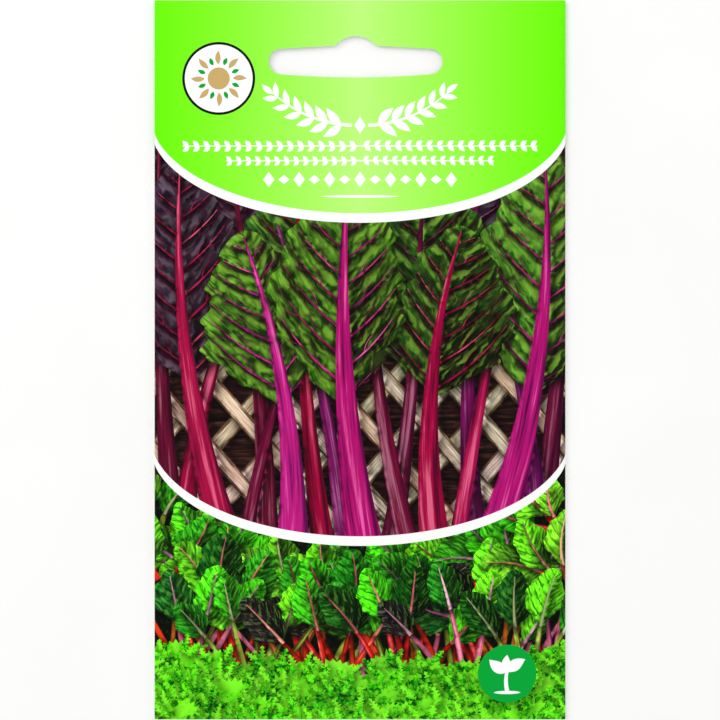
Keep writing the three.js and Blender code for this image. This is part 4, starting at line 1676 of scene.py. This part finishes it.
# %% Stem and slat inks
def lengthwise_noise(tree, across, along, number, scale, roughness):
    """Fine streaks that run along a shape, and how far out from its spine the point lies."""
    lengthwise, beside, outward = split(tree, read(tree, "place", "Vector"))[:3]
    place = combine(tree, sums(tree, "MULTIPLY", beside, across),
                    sums(tree, "MULTIPLY", lengthwise, along), own_number(tree, number))
    return noise(tree, place, scale, 4.0, roughness), outward


def stem_paint(tree, page):
    """Round ribbed stems: long streaks, bright along the lit side and deep at the edges."""
    base = own_colour(tree)
    streaks, outward = lengthwise_noise(tree, 0.95, 0.035, 90.0, 1.0, 0.62)
    offset = sums(tree, "ADD", outward, -0.18)
    roundness = sums(tree, "SUBTRACT", 0.5, sums(tree, "MULTIPLY", offset, offset))
    light = sums(tree, "MULTIPLY_ADD", sums(tree, "SUBTRACT", streaks, 0.5), 4.8,
                 sums(tree, "MULTIPLY", roundness, 0.85))
    dark = tinted(tree, base, (0.22, 0.12, 0.34, 1.0))
    colour = blend_colour(tree, smooth_step(tree, light, -0.7, 0.3), dark, base)
    bright = tinted(tree, base, (1.9, 2.2, 2.2, 1.0))
    bright = blend_colour(tree, 0.14, bright, (1.0, 0.85, 1.0, 1.0))
    colour = blend_colour(tree, smooth_step(tree, light, 0.3, 1.05, 0.0, 0.95), colour, bright)
    return shadowed(tree, colour)


def slat_paint(tree, page):
    """Split willow: pale, with long fibres and darker edges."""
    fibres, outward = lengthwise_noise(tree, 2.6, 0.14, 60.0, 1.3, 0.65)
    edge = smooth_step(tree, sums(tree, "ABSOLUTE", outward), 0.45, 1.0, 0.0, 0.75)
    light = sums(tree, "SUBTRACT", sums(tree, "MULTIPLY_ADD", fibres, 2.8, -1.25), edge)
    return shadowed(tree, lit(
        tree, own_colour(tree), light, (0.22, 0.15, 0.11, 1.0), srgb(250, 240, 220), 0.9, 0.7))


print("stem and slat inks ready")

# %% Ground inks and the fern ink
BOARD_WIDE = 11.5  # mm


def boards_paint(tree, page):
    """Old dark boards side by side, with grain along them."""
    x, y = split(tree, page)[:2]
    board = sums(tree, "FLOOR", sums(tree, "MULTIPLY", y, 1 / BOARD_WIDE))
    grain_place = combine(
        tree, sums(tree, "MULTIPLY", x, 0.09), y, sums(tree, "MULTIPLY", board, 7.3))
    grain = noise(tree, grain_place, 1.5, 5.0, 0.68)
    colour = colour_ramp(
        tree, grain, (0.32, srgb(14, 3, 5)), (0.5, srgb(38, 16, 14)), (0.72, srgb(86, 54, 42)))
    gap = smooth_step(tree, sums(tree, "PINGPONG", y, BOARD_WIDE / 2), 0.12, 0.5, 0.9, 0.0)
    return shadowed(tree, blend_colour(tree, gap, colour, srgb(6, 2, 3)))


def soil_paint(tree, page):
    """Deep shade between plants, with specks of dark green."""
    speck = noise(tree, page, 0.9, 5.0, 0.7)
    return shadowed(tree, colour_ramp(
        tree, speck, (0.35, srgb(3, 4, 1)), (0.55, srgb(10, 20, 3)), (0.75, srgb(40, 78, 8))))


def fern_paint(tree, page):
    """Feathery green: a froth of tiny bright leaflets over deep shade, lighter on top."""
    page = own_page(tree, page)
    page = wavered(tree, page, page, 1.3, 1.5)
    leaflets = sums(tree, "SUBTRACT", 0.42, cells(tree, page, 1.15))
    fine = sums(tree, "SUBTRACT", 0.4, cells(tree, page, 2.6))
    clumps = sums(tree, "MULTIPLY_ADD", noise(tree, page, 0.28, 2.0), 3.0, -1.2)
    light = sums(tree, "MULTIPLY_ADD", leaflets, 1.5, sums(tree, "MULTIPLY_ADD", fine, 0.9, clumps))
    light = sums(tree, "ADD", light, smooth_step(tree, lot_of(tree)[1], 0.2, 1.0, 0.05, 0.4))
    colour = lit(
        tree, own_colour(tree), light, (0.12, 0.20, 0.0, 1.0), srgb(150, 255, 50), 0.85, 0.7)
    return shadowed(tree, colour, 0.74)


def green_leaf_ink():
    return ink(
        "green_leaf_ink", leaf_paint, pitch=5.0, net_colour=srgb(66, 16, 34), net_share=0.35,
        shade_to=(0.18, 0.24, 0.16, 1.0), light_to=srgb(176, 232, 76), dimmest=0.22)


def purple_leaf_ink():
    return ink(
        "purple_leaf_ink", leaf_paint, pitch=5.0, net_colour=srgb(84, 12, 54), net_share=0.45,
        shade_to=(0.20, 0.16, 0.22, 1.0), light_to=srgb(140, 120, 134), dimmest=0.3)


def small_leaf_ink():
    return ink(
        "small_leaf_ink", leaf_paint, pitch=2.4, net_colour=srgb(4, 40, 4), net_share=0.22,
        shade_to=(0.22, 0.36, 0.12, 1.0), light_to=srgb(170, 255, 84), waver=0.4, dimmest=0.10,
        arching=0.2, share_to_light=0.2, gain=1.5)


MAKERS = {
    "header": lambda: ink("header_green_ink", header_paint),
    "band": lambda: ink("white_band_ink", grained, srgb(253, 253, 252)),
    "boards": lambda: ink("dark_boards_ink", boards_paint),
    "soil": lambda: ink("deep_shade_ink", soil_paint),
    "back": lambda: ink("back_ink", back_paint, gloss=(0.42, 0.55)),
    LEAF_INK: green_leaf_ink,
    DARK_LEAF_INK: purple_leaf_ink,
    SMALL_LEAF_INK: small_leaf_ink,
    STEM_INK: lambda: ink("stem_ink", stem_paint),
    SLAT_INK: lambda: ink("slat_ink", slat_paint),
    FERN_INK: lambda: ink("fern_ink", fern_paint),
    SOLID_INK: lambda: ink("solid_ink", solid_paint),
}
print("inks:", list(MAKERS))

# %% [markdown]
# ## The folded sheet
# The flat triangles are folded, then the Solidify modifier gives the paper its thickness inwards.
# Its material offsets run past both ends of the list on purpose: they are held to the first
# slot, the white core that shows at each cut edge, and to the last, the bare inner face.

# %% Fold and thicken
mesh = bpy.data.meshes.new("printed_packet")
mesh.from_pydata((folded(flat[:, 0], flat[:, 1]) * MM).tolist(), [], triangles.tolist())
packet = bpy.data.objects.new("printed_packet", mesh)
scene.collection.objects.link(packet)
mesh.materials.append(ink("cut_paper_edge", grained, srgb(250, 250, 246)))
for name in INKS:
    mesh.materials.append(MAKERS[name]())
mesh.materials.append(ink("bare_inner_face", grained, srgb(236, 234, 226)))
mesh.polygons.foreach_set("material_index", (face_ink + 1).astype(np.int32))
for name, kind, field, values in (
        ("place", "FLOAT_VECTOR", "vector", corner_place),
        ("ink", "FLOAT_COLOR", "color", corner_ink),
        ("lot", "FLOAT_VECTOR", "vector", corner_lot)):
    attribute = mesh.attributes.new(name, kind, "CORNER")
    attribute.data.foreach_set(field, values.astype(np.float32).ravel())
only(packet)
thickness = packet.modifiers.new("paper", "SOLIDIFY")
thickness.thickness = PAPER * MM
thickness.offset = -1.0
thickness.material_offset = len(mesh.materials)
thickness.material_offset_rim = -len(mesh.materials)
bpy.ops.object.modifier_apply(modifier="paper")
print("faces of the sheet:", len(packet.data.polygons))

# %% [markdown]
# Solidify takes each point's direction from the faces round it, and a drawing leaves many thin
# slivers whose directions are poor, so the inner skin would come out rough. The fold formula
# knows the true direction everywhere: two short steps on the blank give it, and the inner skin
# is set the paper's thickness behind the outer one.

# %% Even out the inner skin
SHORT_STEP = 0.01  # mm
SMOOTH_BELOW = 50  # degrees between two faces
u, v = flat[:, 0], flat[:, 1]
ahead_u = folded(u + SHORT_STEP, v) - folded(u - SHORT_STEP, v)
ahead_v = folded(u, v + SHORT_STEP) - folded(u, v - SHORT_STEP)
outwards = np.cross(ahead_u, ahead_v)
outwards /= np.linalg.norm(outwards, axis=1)[:, None]
outer = folded(u, v)
points = np.array([tuple(v.co) for v in packet.data.vertices])
print("points of the sheet:", len(points), "of the blank:", len(flat))
print("outer skin moved by (mm):", round(float(np.abs(points[:len(flat)] / MM - outer).max()), 4))
points[len(flat):2 * len(flat)] = (outer - outwards * PAPER) * MM
packet.data.vertices.foreach_set("co", points.ravel())
packet.data.update()
bpy.ops.object.shade_smooth_by_angle(angle=math.radians(SMOOTH_BELOW))

# %% [markdown]
# When the inks of a piece are baked into one picture, its texture map lays that picture out. The
# blank is flat already, so its own outline is the best map. The front gets the most room because
# that is what people look at, and the plain inner skin and the cut edges get little.

# %% Map of the flat sheet
MAP_PIXELS = 1024
GAP = 5 / MAP_PIXELS
# Pixels of the picture for each mm of paper.
front_scale, wing_scale, flap_scale, inner_scale = (
    dots / MAP_PIXELS for dots in (7.0, 4.25, 4.1, 1.9))
sheet = packet.data
loop_points = np.empty(len(sheet.loops), np.int32)
sheet.loops.foreach_get("vertex_index", loop_points)
loop_counts = np.empty(len(sheet.polygons), np.int32)
sheet.polygons.foreach_get("loop_total", loop_counts)
loop_faces = np.repeat(np.arange(len(loop_counts)), loop_counts)
in_face = np.arange(len(loop_faces)) - np.repeat(np.cumsum(loop_counts) - loop_counts, loop_counts)
blank_place = flat[loop_points % len(flat)]
loop_zone = np.zeros(len(loop_faces), int)
is_outer = loop_faces < len(triangles)
loop_zone[is_outer] = face_zone[loop_faces[is_outer]]
is_inner = (loop_faces >= len(triangles)) & (loop_faces < 2 * len(triangles))
is_front = is_outer & (loop_zone <= HEDGE)
is_flap = is_outer & (loop_zone == FLAP)
is_left_wing = is_outer & (loop_zone == LEFT_WING)
is_right_wing = is_outer & (loop_zone == RIGHT_WING)
map_place = np.zeros((len(loop_faces), 2))
least_u, least_v = flat.min(0)
right_of_front = 2 * GAP + 2 * PRINT_EDGE * front_scale
wing_width = AROUND_SIDE - LAP_INNER_EDGE - PRINT_EDGE
right_of_wing = right_of_front + wing_width * wing_scale + GAP
above_inner = 2 * GAP + (TOP - least_v) * inner_scale
above_flap = above_inner + GAP + (PRINT_FOOT - least_v) * flap_scale
for chosen, low_u, low_v, scale, map_u, map_v in (
        (is_front, -PRINT_EDGE, PRINT_FOOT, front_scale, GAP, GAP),
        (is_inner, least_u, least_v, inner_scale, right_of_front, GAP),
        (is_flap, -FLAP_HALF, least_v, flap_scale, right_of_front, above_inner),
        (is_right_wing, PRINT_EDGE, WING_FOOT, wing_scale, right_of_front, above_flap),
        (is_left_wing, least_u, WING_FOOT, wing_scale, right_of_wing, above_flap)):
    map_place[chosen] = (blank_place[chosen] - (low_u, low_v)) * scale + (map_u, map_v)
cut_edge = ~is_outer & ~is_inner
square = np.array([(0, 0), (1, 0), (1, 1), (0, 1)]) * GAP
map_place[cut_edge] = np.array([1 - 3 * GAP, 1 - 3 * GAP]) + square[in_face[cut_edge] % 4]
texture_map = sheet.uv_layers.new(name="OFBake")
texture_map.data.foreach_set("uv", map_place.astype(np.float32).ravel())
print("map runs from", map_place.min(0).round(3), "to", map_place.max(0).round(3))

# %% Attach and finish
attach(packet, "root")
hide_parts("paper_envelope")
low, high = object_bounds()
sizes = {"cad": [list(corner) for corner in CAD_BOX], "visual": [list(low), list(high)]}
print("visual box (mm):", [round(c / MM, 2) for c in (*low, *high)])
